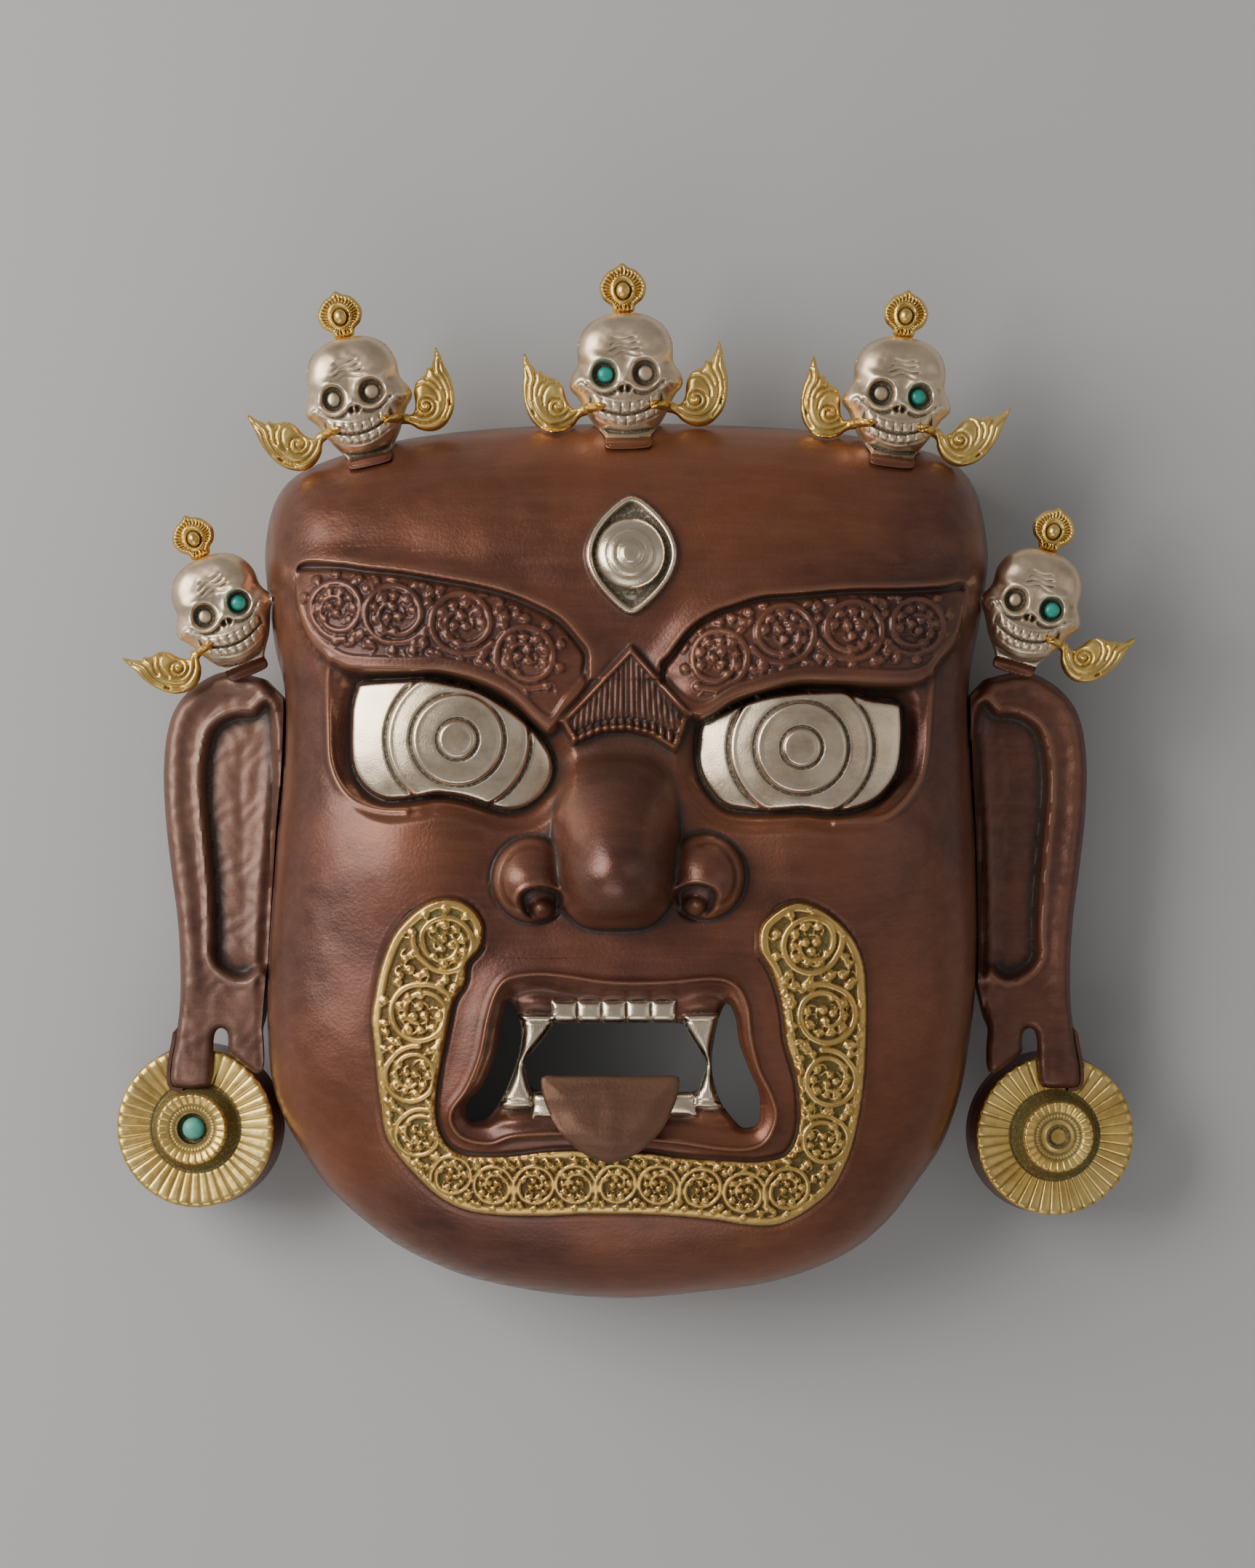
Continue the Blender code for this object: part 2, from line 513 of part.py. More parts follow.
def face_shell():
    rings = [FACE_CENTRE + (smooth_path(FACE_OUTLINE, spacing) - FACE_CENTRE) * share
             for share, spacing in ((0.98, 12.5), (0.94, 13), (0.87, 16))]
    seeds, gaps = [], []

    def add(points, gap):
        seeds.append(points)
        gaps.append(gap)

    for side in (-1, 1):
        for root_x, root_y in (UPPER_FANG_ROOT, LOWER_FANG_ROOT):
            share = np.linspace(0, 0.75, 3)[:, None]
            root = np.array([MOUTH_X + side * root_x, root_y])
            tip = np.array([MOUTH_X + side * FANG_TIP[0], FANG_TIP[1]])
            add(root + (tip - root) * share, 1.2)
    for half_row, top, bottom in (UPPER_TEETH, LOWER_TEETH):
        pitch = 2 * half_row / TEETH
        middle = (top + bottom) / 2
        lower_edge = top if top > -90 else bottom
        for i in range(TEETH + 1):
            at = MOUTH_X - half_row + i * pitch
            add([(at, middle), (at, lower_edge)], 1.2)
            if i < TEETH:
                add([(at + pitch / 2, middle), (at + pitch / 2, lower_edge)], 1.2)
    for loop in [lip_loop, grown(lip_loop, -5)]:
        add(loop, 2.2)
    for side, loop in zip((-1, 1), eye_loops):
        add(loop, 2.2)
        add([(side * EYE_X, EYE_Y)], 2)
        for radius, count in zip(EYE_RINGS, (8, 12, 16)):
            ring = circle(side * EYE_X, EYE_Y, radius, radius, count)
            add(ring[depth_inside(ring[:, 0], ring[:, 1], loop) > 2], 2.5)
        add(grown(loop, 3.5), 3)
    for loop in brow_loops:
        add(grown(loop, -2.2), 3)
        add(grown(loop, 2.6), 2.8)
    add(grown(third_eye_loop, 1), 2)
    add(leaf(THIRD_EYE_CENTRE, THIRD_EYE_HALF_WIDTH - 3, THIRD_EYE_HALF_HEIGHT - 4, 7), 2)
    add(circle(*THIRD_EYE_CENTRE, THIRD_EYE_BALL * 0.7, THIRD_EYE_BALL * 0.7, 8), 2)
    add([THIRD_EYE_CENTRE], 2)
    plate = np.array(BRIDGE_PLATE)
    add(grown(smooth_path(plate, 7), 1.5), 2.5)
    add(grown(smooth_path(plate, 7), -2.5), 2.5)
    for level, height, half in NOSE_STATIONS:
        add([(NOSE_X + half * k, level) for k in (-1.02, -0.9, -0.55, 0, 0.55, 0.9, 1.02)], 2.2)
    for side in (-1, 1):
        wing = (NOSE_X + side * WING_X, WING_Y)
        add([(NOSE_X + side * NOSTRIL_X, NOSTRIL_Y)], 1.5)
        add(circle(NOSE_X + side * NOSTRIL_X, NOSTRIL_Y, 6, 5, 7), 2)
        add(circle(*wing, WING_HALF_WIDTH, WING_HALF_HEIGHT, 12), 2.5)
        add(circle(*wing, WING_HALF_WIDTH * 0.6, WING_HALF_HEIGHT * 0.6, 7), 2.5)
        add([wing], 2.5)
    ahead = np.gradient(beard_line[:, :2], axis=0)
    sideways = np.column_stack([-ahead[:, 1], ahead[:, 0]]) / np.linalg.norm(ahead, axis=1)[:, None]
    for offset in (1.2, -1.2):
        for sign in (-1, 1):
            add(beard_line[:, :2] + sideways * sign * (beard_line[:, 2:] + offset), 2.0)
    for end in (0, -1):
        for offset in (1.2, -1.2):
            add(circle(*beard_line[end, :2], beard_line[end, 2] + offset, beard_line[end, 2] + offset, 12), 2.0)
    for ring in rings:
        add(ring, 5.5)
    add(grid_inside(face_loop, 17), 8.5)

    def keep(points):
        points = np.atleast_2d(np.asarray(points, float))
        fits = depth_inside(points[:, 0], points[:, 1], face_loop) > 1.5
        for gap_loop in side_gap_loops + [middle_gap_loop]:
            fits &= depth_inside(points[:, 0], points[:, 1], gap_loop) < -0.9
        return points[fits]

    points, faces = hollow_sheet(
        face_loop, side_gap_loops + [middle_gap_loop], [keep(group) for group in seeds], gaps,
        face_height, lambda x, y: np.zeros_like(x), FACE_SHEET)

    def paint(x, y, z, up):
        at = (np.array([x]), np.array([y]))
        if up < 0.05 or z < SIDE_WALL:
            return 0
        if max(depth_inside(*at, loop)[0] for loop in eye_loops + [third_eye_loop]) > 0:
            return 2
        if tooth_rounds(*at, UPPER_TEETH)[0] + tooth_rounds(*at, LOWER_TEETH)[0] > 0.1:
            return 2
        return 1 if beard_depth(*at)[0] > 0 else 0

    return stand_up("face_shell", points, faces, [copper, gilt, silver], paint)


def ear_outline(side):
    """The ear's loop, closed along the face's side wall with a solder gap."""
    beside = grown(counter_clockwise(fine_face_loop), SOLDER_GAP + 0.25)
    beside = beside[(beside[:, 0] * side > 0) & (beside[:, 1] < EAR_TOP) & (beside[:, 1] > EAR_FOOT)]
    beside = beside[np.argsort(beside[:, 1])][::3]
    outer = smooth_path(flip(EAR_OUTER, side), 5.5, closed=False)
    return np.concatenate([outer, beside])


def ear_height(x, y, side):
    loop = ear_outline(side)
    depth = depth_inside(x, y, loop)
    from_face = depth_inside(x, y, fine_face_loop)
    level = EAR_FRONT - math.tan(EAR_SWEEP) * (side * x - 123)
    rolled = 1.6 * np.exp(-(((depth - 4.5) / 3.2) ** 2)) * smooth(2, 7, -from_face)
    recess = EAR_RECESS * smooth(-1.5, 1.5, depth_inside(x, y, np.array(flip(EAR_RECESS_LOOP, side))))
    return np.maximum(level, np.where(y < LOBE_OVER_DISC, LOBE_BACK + 2.6, 0)) - 1.2 * smooth(1.4, 0, depth) + rolled - recess


def ear(side, name):
    outline = ear_outline(side)
    recess = smooth_path(flip(EAR_RECESS_LOOP, side), 9)
    inset = grown(counter_clockwise(smooth_path(outline, 8)), -4.5)

    def keep(points):
        return points[depth_inside(points[:, 0], points[:, 1], outline) > 1.6]

    def foot(x, y):
        back = EAR_BACK - math.tan(EAR_SWEEP) * (side * x - 123)
        return back + (LOBE_BACK - back) * smooth(LOBE_OVER_DISC + 6, LOBE_OVER_DISC, y)

    seeds = [keep(grown(counter_clockwise(recess), 1.5)), keep(grown(counter_clockwise(recess), -1.8)), keep(inset),
             keep(grid_inside(outline, 16))]
    points, faces = hollow_sheet(outline, [], seeds, [3.0, 3.0, 4.5, 8],
                                 lambda x, y: ear_height(x, y, side), foot, TRIM_SHEET)
    stand_up(name, points, faces, [copper])


def disc(name, centre_x, centre_y, level):
    """A drum with a raised boss, spun about its axis and swept back with the ear."""
    side = math.copysign(1, centre_x)
    outer = [(0.0, DISC_PROFILE[0][1] if side > 0 else COLLET_FLOOR)]
    if side < 0:
        outer.append((4.25, COLLET_FLOOR))
    outer += DISC_PROFILE[1 if side > 0 else 0:]
    outer.append((DISC_RADIUS_FRONT + DISC_FLARE, 0.0))
    inner = [(DISC_RADIUS_FRONT + DISC_FLARE - TRIM_SHEET, 0.0), (DISC_RADIUS_FRONT - TRIM_SHEET, 13.6),
             (15.2, 13.2), (12.4, 18.6), (7.0, 16.1), (0.0, 16.1)]
    points, rings = [], []
    for radius, height in outer + inner:
        rings.append(list(range(len(points), len(points) + (DISC_SIDES if radius else 1))))
        for i in range(len(rings[-1])):
            angle = 2 * math.pi * i / DISC_SIDES
            points.append((radius * math.cos(angle), radius * math.sin(angle), height - 15.4))
    faces = []
    for before, after in zip(rings, rings[1:]):
        for i in range(DISC_SIDES):
            j = (i + 1) % DISC_SIDES
            if len(before) == 1:
                faces.append((before[0], after[i], after[j]))
            elif len(after) == 1:
                faces.append((before[j], before[i], after[0]))
            else:
                faces.append((before[i], after[i], after[j], before[j]))
    points = np.array(points)
    tilt = side * EAR_SWEEP
    x = points[:, 0] * math.cos(tilt) + points[:, 2] * math.sin(tilt)
    z = -points[:, 0] * math.sin(tilt) + points[:, 2] * math.cos(tilt)
    placed = np.column_stack([x + centre_x, points[:, 1] + centre_y, z + level - 3.2])
    stand_up(name, placed, faces, [gilt, copper], lambda x, y, z, up: 0 if up > 0.3 else 1)


def beneath(x, y):
    """The highest of the face and the ears under each point, or nothing."""
    level = np.where(depth_inside(x, y, grown(counter_clockwise(fine_face_loop), 0.4)) > 0, 0, -100.0)
    over = level > -1
    found = np.full(np.shape(x), -100.0)
    if over.any():
        found[over] = face_height(x[over], y[over])
    for side in (-1, 1):
        near = (depth_inside(x, y, ear_outline(side)) > -0.6) & ~over
        if near.any():
            found[near] = np.maximum(found[near], ear_height(x[near], y[near], side) + 0.6)
    return found + SOLDER_GAP + 0.55


def skull_frame(chin_x, chin_y, lean, height):
    turn = math.radians(lean)
    right = np.array([math.cos(turn), math.sin(turn)]) * height
    up = np.array([-math.sin(turn), math.cos(turn)]) * height
    return lambda points: np.array([chin_x, chin_y]) + np.outer(np.asarray(points)[:, 0], right) + np.outer(
        np.asarray(points)[:, 1], up)


def skull_pieces(name, chin_x, chin_y, lean, height, back, swings, bead):
    if height is None:
        # seated on the face, this skull reaches up to the top of the mask
        height = (CROWN_TIP - chin_y) / ((1 + CREST[5][1]) * math.cos(math.radians(lean)))
    place = skull_frame(chin_x, chin_y, lean, height)
    turn = math.radians(lean)

    def local(x, y):
        away_x, away_y = x - chin_x, y - chin_y
        return ((away_x * math.cos(turn) + away_y * math.sin(turn)) / height,
                (-away_x * math.sin(turn) + away_y * math.cos(turn)) / height)

    half = smooth_path(SKULL_HALF, 0.12, closed=False)
    outline = place(both_halves([tuple(p) for p in half]))
    head = place(both_halves(SKULL_HALF[:-3] + [(0, 0)]))
    chin_level = max(beneath(*place([(0.0, 0.06)]).T)[0], back)

    def foot(x, y):
        return np.maximum(back, beneath(x, y))

    def front(x, y):
        u, v = local(x, y)
        inset = np.clip(depth_inside(x, y, head) / 9.0, 0, 1)
        z = back + SKULL_SIDE + (SKULL_RISE - SKULL_SIDE) * np.sqrt(1 - (1 - inset) ** 2) * smooth(-0.02, 0.05, v)
        z = z + 0.9 * np.exp(-(((v - 0.68) / 0.03) ** 2)) * inset + 0.7 * np.exp(-(((v - 0.78) / 0.03) ** 2)) * inset
        for side in (-1, 1):
            away = np.hypot(u - side * SOCKET_X, v - SOCKET_Y)
            z = z - SOCKET_DEPTH * smooth(SOCKET_RADIUS + 0.02, SOCKET_RADIUS - 0.02, away)
        z = z - 1.8 * hump(u, v, 0, 0.40, 0.045, 0.05)
        z = z - 1.5 * smooth(0.04, 0.015, np.abs(v - 0.215)) * smooth(0.24, 0.20, np.abs(u))
        return np.maximum(z, foot(x, y) + TRIM_SHEET + 1.6)

    seeds = [place(circle(side * SOCKET_X, SOCKET_Y, radius, radius, 7))
             for side in (-1, 1) for radius in (SOCKET_RADIUS + 0.02, SOCKET_RADIUS - 0.03)]
    seeds += [place([(u, v)]) for u, v in ((0, 0.40), (0, 0.47), (0, 0.30))]
    seeds += [place([(u, v) for u in (-0.2, 0, 0.2)]) for v in (0.255, 0.215, 0.175)]
    seeds += [place([(u, v) for u in (-0.2, 0, 0.2)]) for v in (0.68, 0.78)]
    seeds += [place([(0.86 * u, 0.5 + 0.86 * (v - 0.5)) for u, v in both_halves(SKULL_HALF[:-3] + [(0, 0)])])]
    kept = [group[depth_inside(group[:, 0], group[:, 1], outline) > 1.5] for group in seeds]
    points, faces = hollow_sheet(outline, [], kept, [1.2] * len(kept), front, foot, TRIM_SHEET)

    def paint(x, y, z, up):
        u, v = local(x, y)
        return 1 if up > 0.25 and v > 0.0 else 0

    stand_up("skull_" + name, points, faces, [copper, silver], paint)

    for side, swing in swings.items():
        angle = math.radians(swing)
        shape = np.array(FLAME) - FLAME_ROOT
        swung = np.column_stack([shape[:, 0] * math.cos(angle) - shape[:, 1] * math.sin(angle),
                                 shape[:, 0] * math.sin(angle) + shape[:, 1] * math.cos(angle)]) + FLAME_ROOT
        flame = smooth_path(place(flip(swung, side)), 4.2)
        for _ in range(60):
            if depth_inside(flame[:, 0], flame[:, 1], outline).max() < -SOLDER_GAP:
                break
            flame = flame + side * np.array([math.cos(turn), math.sin(turn)]) * 0.25
        middle = flame.mean(0)

        def under(x, y):
            return np.maximum(back + 3.0, beneath(x, y))

        def over(x, y):
            depth = depth_inside(x, y, flame)
            return under(x, y) + 1.0 + FLAME_RISE * np.sqrt(1 - (1 - np.clip(depth / 3.5, 0, 1)) ** 2)

        seeds = [middle + (flame - middle) * share for share in (0.62, 0.3)]
        inside = [group[depth_inside(group[:, 0], group[:, 1], flame) > 0.8] for group in seeds]
        points, faces = slab(flame, inside, [2.2, 2.2], over, grid_inside(flame, 7), under)
        where = "left" if side < 0 else "right"
        label = "flame_" + name + ("_" + where if len(swings) > 1 else "")
        stand_up(label, points, faces, [gilt])

    crest = place([(u, 1 + v) for u, v in CREST])
    crest[5, 1] = min(crest[5, 1], CROWN_TIP)
    ball = place([(0.0, 1.17)])[0]

    def crest_top(x, y):
        away = np.hypot(x - ball[0], y - ball[1]) / (CREST_BALL * height)
        depth = depth_inside(x, y, crest)
        return back + 3.4 + 0.9 * smooth(0, 1.2, depth) + CREST_RISE * dome(away**2)

    seeds = [circle(*ball, CREST_BALL * height, CREST_BALL * height * 1.2, 8), [ball],
             ball + (crest - ball) * 0.72]
    points, faces = slab(crest, seeds, [1.2, 1.0, 1.6], crest_top, np.array([ball]), lambda x, y: np.full_like(x, back + 2.2))
    stand_up("crest_" + name, points, faces, [gilt])

    if bead:
        at = place([(bead * SOCKET_X, SOCKET_Y)])[0]
        floor = front(at[:1], at[1:])[0]
        bead_at("bead_" + name, at[0], at[1], floor + SOLDER_GAP, BEAD_RADIUS)


def bead_at(name, x, y, floor, radius):
    """A dome of turquoise, flat behind."""
    levels = [(0.0, 1.0), (0.62, 0.9), (1.0, 0.35), (1.0, 0.0)]
    points, rings = [], []
    for share, rise in levels + [(0.0, 0.0)]:
        count = 8 if share else 1
        rings.append(list(range(len(points), len(points) + count)))
        for i in range(count):
            angle = 2 * math.pi * i / 8
            points.append((x + radius * share * math.cos(angle), y + radius * share * math.sin(angle),
                           floor + radius * 0.95 * rise))
    faces = []
    for before, after in zip(rings, rings[1:]):
        for i in range(8):
            j = (i + 1) % 8
            if len(before) == 1:
                faces.append((before[0], after[i], after[j]))
            elif len(after) == 1:
                faces.append((before[j], before[i], after[0]))
            else:
                faces.append((before[i], after[i], after[j], before[j]))
    stand_up(name, points, faces, [turquoise])


def tongue():
    outline = smooth_path(both_halves(TONGUE_HALF, MOUTH_X), 5)
    levels = np.arange(-133, -99, 1.0)
    across = np.linspace(-23, 23, 47) + MOUTH_X
    highest = np.array([face_height(across, np.full_like(across, y)).max() for y in levels])
    highest = np.array([highest[max(0, i - 3):i + 4].max() for i in range(len(levels))])

    def under(x, y):
        return np.interp(y, levels, highest) + SOLDER_GAP + 1.2 * (1 - ((x - MOUTH_X) / 25) ** 2)

    def over(x, y):
        depth = depth_inside(x, y, outline)
        return under(x, y) + 1.3 + 1.4 * smooth(0, 8, depth)

    seeds = grid_inside(outline, 6)
    points, faces = slab(outline, [seeds], [2.5], over, seeds, under)
    stand_up("tongue", points, faces, [copper])


face_shell()
tongue()
ear(-1, "ear_left")
ear(1, "ear_right")
for disc_side, disc_x, disc_y, disc_level in DISC_PLACES:
    disc("ear_disc_" + disc_side, disc_x, disc_y, disc_level)
bead_at("bead_ear_disc", DISC_PLACES[0][1] - 0.25, DISC_PLACES[0][2], 39.5, 4.05)
for skull in SKULLS:
    skull_pieces(*skull)
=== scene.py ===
import math

import bpy
import numpy as np
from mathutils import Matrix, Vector


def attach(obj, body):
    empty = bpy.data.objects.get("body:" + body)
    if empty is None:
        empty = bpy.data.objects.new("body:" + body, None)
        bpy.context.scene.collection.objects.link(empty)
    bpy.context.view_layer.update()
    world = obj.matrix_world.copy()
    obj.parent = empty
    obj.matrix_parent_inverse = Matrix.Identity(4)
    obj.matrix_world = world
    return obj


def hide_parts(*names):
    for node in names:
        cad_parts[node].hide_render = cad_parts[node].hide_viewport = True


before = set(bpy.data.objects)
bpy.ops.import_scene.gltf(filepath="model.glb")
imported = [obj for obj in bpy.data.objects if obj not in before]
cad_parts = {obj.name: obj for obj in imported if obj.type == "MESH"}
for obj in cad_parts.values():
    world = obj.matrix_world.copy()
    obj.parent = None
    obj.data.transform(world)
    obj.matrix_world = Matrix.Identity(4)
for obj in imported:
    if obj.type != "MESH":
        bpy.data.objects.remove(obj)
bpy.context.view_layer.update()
print("frame loaded:", len(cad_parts), "solids")

mm = 0.001
coarser = 1.0
sliceSize = 20000  # how many points are measured at one time
farAway = 999.0  # a distance beyond everything, in millimetres


# plain helpers for curves and relief, all in millimetres

def ease(low, high, value):
    share = np.clip((value - low) / (high - low), 0, 1)
    return share * share * (3 - 2 * share)


def roundOff(share):
    return np.sqrt(np.clip(1 - share, 0, 1))


def bell(value, width):
    return np.exp(-((value / width) ** 2))


def bump(x, y, centre, radii):
    return np.exp(-(((x - centre[0]) / radii[0]) ** 2) - ((y - centre[1]) / radii[1]) ** 2)


def blendUp(first, second, softness):
    # the higher of two surfaces, with a soft weld where they meet
    return np.maximum(first, second) + softness * np.log1p(np.exp(-np.abs(first - second) / softness))


def curveThrough(points, spacing, closed=True):
    knots = np.array(points, float)
    count = len(knots)
    steps = np.linspace(0, 1, 12, endpoint=False)[:, None]
    runs = []
    for i in range(count if closed else count - 1):
        if closed:
            a, b, c, d = (knots[(i + k) % count] for k in (-1, 0, 1, 2))
        else:
            a, b, c, d = (knots[min(max(i + k, 0), count - 1)] for k in (-1, 0, 1, 2))
        runs.append(0.5 * (2 * b + (c - a) * steps + (2 * a - 5 * b + 4 * c - d) * steps**2
                           + (3 * b - a - 3 * c + d) * steps**3))
    fine = np.concatenate(runs + [knots[:1] if closed else knots[-1:]])
    along = np.concatenate([[0], np.cumsum(np.hypot(*np.diff(fine[:, :2], axis=0).T))])
    amount = max(4, round(along[-1] / spacing))
    at = np.linspace(0, along[-1], amount, endpoint=False) if closed else np.linspace(0, along[-1], amount + 1)
    return np.column_stack([np.interp(at, along, fine[:, k]) for k in range(fine.shape[1])])


def closestOn(x, y, line, closed):
    # distance to a line, and how far along it the closest point is, in slices that keep the memory small
    start = line if closed else line[:-1]
    end = np.roll(line, -1, axis=0) if closed else line[1:]
    run = end - start
    length = np.hypot(run[:, 0], run[:, 1])
    before = np.concatenate([[0], np.cumsum(length)[:-1]])
    distance, along = np.empty(len(x)), np.empty(len(x))
    for first in range(0, len(x), sliceSize):
        part = slice(first, first + sliceSize)
        awayX, awayY = x[part, None] - start[:, 0], y[part, None] - start[:, 1]
        share = np.clip((awayX * run[:, 0] + awayY * run[:, 1]) / np.maximum(length**2, 1e-12), 0, 1)
        gap = np.hypot(awayX - share * run[:, 0], awayY - share * run[:, 1])
        nearest = gap.argmin(1)
        rows = np.arange(len(nearest))
        distance[part] = gap[rows, nearest]
        along[part] = before[nearest] + share[rows, nearest] * length[nearest]
    return distance, along


def drawnOnto(x, y, line):
    # the closest points of a closed line
    _, along = closestOn(x, y, line, True)
    wrapped = np.concatenate([line, line[:1]])
    marks = np.concatenate([[0], np.cumsum(np.hypot(*np.diff(wrapped, axis=0).T))])
    return np.interp(along, marks, wrapped[:, 0]), np.interp(along, marks, wrapped[:, 1])


def depthIn(x, y, loop, reach=None):
    # how far inside a closed loop each point is, negative outside
    shape = np.shape(x)
    x, y = np.ravel(x), np.ravel(y)
    depth = np.full(len(x), -farAway)
    pad = 30.0 if reach is None else reach
    near = ((x > loop[:, 0].min() - pad) & (x < loop[:, 0].max() + pad)
            & (y > loop[:, 1].min() - pad) & (y < loop[:, 1].max() + pad))
    if near.any():
        px, py = x[near], y[near]
        distance, _ = closestOn(px, py, loop, True)
        inside = np.zeros(len(px), bool)
        nextX, nextY = np.roll(loop[:, 0], -1), np.roll(loop[:, 1], -1)
        for i in range(len(loop)):
            ax, ay, bx, by = loop[i, 0], loop[i, 1], nextX[i], nextY[i]
            if ay != by:
                crosses = (ay > py) != (by > py)
                inside ^= crosses & (px < ax + (bx - ax) * (py - ay) / (by - ay))
        depth[near] = np.where(inside, distance, -distance)
    return depth.reshape(shape)


def outOf(loop):
    ahead = np.roll(loop, -1, axis=0) - np.roll(loop, 1, axis=0)
    out = np.column_stack([ahead[:, 1], -ahead[:, 0]])
    out /= np.linalg.norm(out, axis=1)[:, None]
    area = (loop[:, 0] * np.roll(loop[:, 1], -1) - loop[:, 1] * np.roll(loop[:, 0], -1)).sum()
    return out * np.sign(area)


def mirrored(points, side):
    return [(side * p[0], *p[1:]) for p in points]


def bothSides(half, middle=0.0):
    return [(middle + x, y) for x, y in half] + [(middle - x, y) for x, y in reversed(half[1:-1])]


def softened(grid, cells):
    # box blur of a square grid of heights
    for axis in (0, 1):
        pad = [(0, 0), (0, 0)]
        pad[axis] = (cells + 1, cells)
        total = np.cumsum(np.pad(grid, pad, mode="edge"), axis=axis)
        span = 2 * cells + 1
        grid = (np.take(total, range(span, total.shape[axis]), axis=axis)
                - np.take(total, range(0, total.shape[axis] - span), axis=axis)) / span
    return grid


# one way of making every pressed sheet: a grid is cut to the outline and raised

def deselectAll():
    if bpy.context.object and bpy.context.object.mode != "OBJECT":
        bpy.ops.object.mode_set(mode="OBJECT")
    bpy.ops.object.select_all(action="DESELECT")


def readPoints(mesh):
    points = np.empty(len(mesh.vertices) * 3)
    mesh.vertices.foreach_get("co", points)
    return points.reshape(-1, 3)


def writePoints(mesh, points):
    mesh.vertices.foreach_set("co", np.ascontiguousarray(points, float).ravel())
    mesh.update()


def openEdges(mesh):
    edgeOfLoop = np.empty(len(mesh.loops), int)
    mesh.loops.foreach_get("edge_index", edgeOfLoop)
    used = np.bincount(edgeOfLoop, minlength=len(mesh.edges))
    ends = np.empty(len(mesh.edges) * 2, int)
    mesh.edges.foreach_get("vertices", ends)
    return used == 1, ends.reshape(-1, 2)


def pickEdges(mesh, chosen):
    for kind in (mesh.vertices, mesh.edges, mesh.polygons):
        kind.foreach_set("select", np.zeros(len(kind), bool))
    mesh.edges.foreach_set("select", chosen)
    bpy.context.tool_settings.mesh_select_mode = (False, True, False)


def markHollow(mesh, hollow):
    # the finishes read from this where dirt gathers and where the metal is rubbed; on the face it also carries a
    # painted shadow under the nose plate
    mark = mesh.attributes.new("hollow", "FLOAT", "POINT")
    mark.data.foreach_set("value", hollow.astype(np.float32))


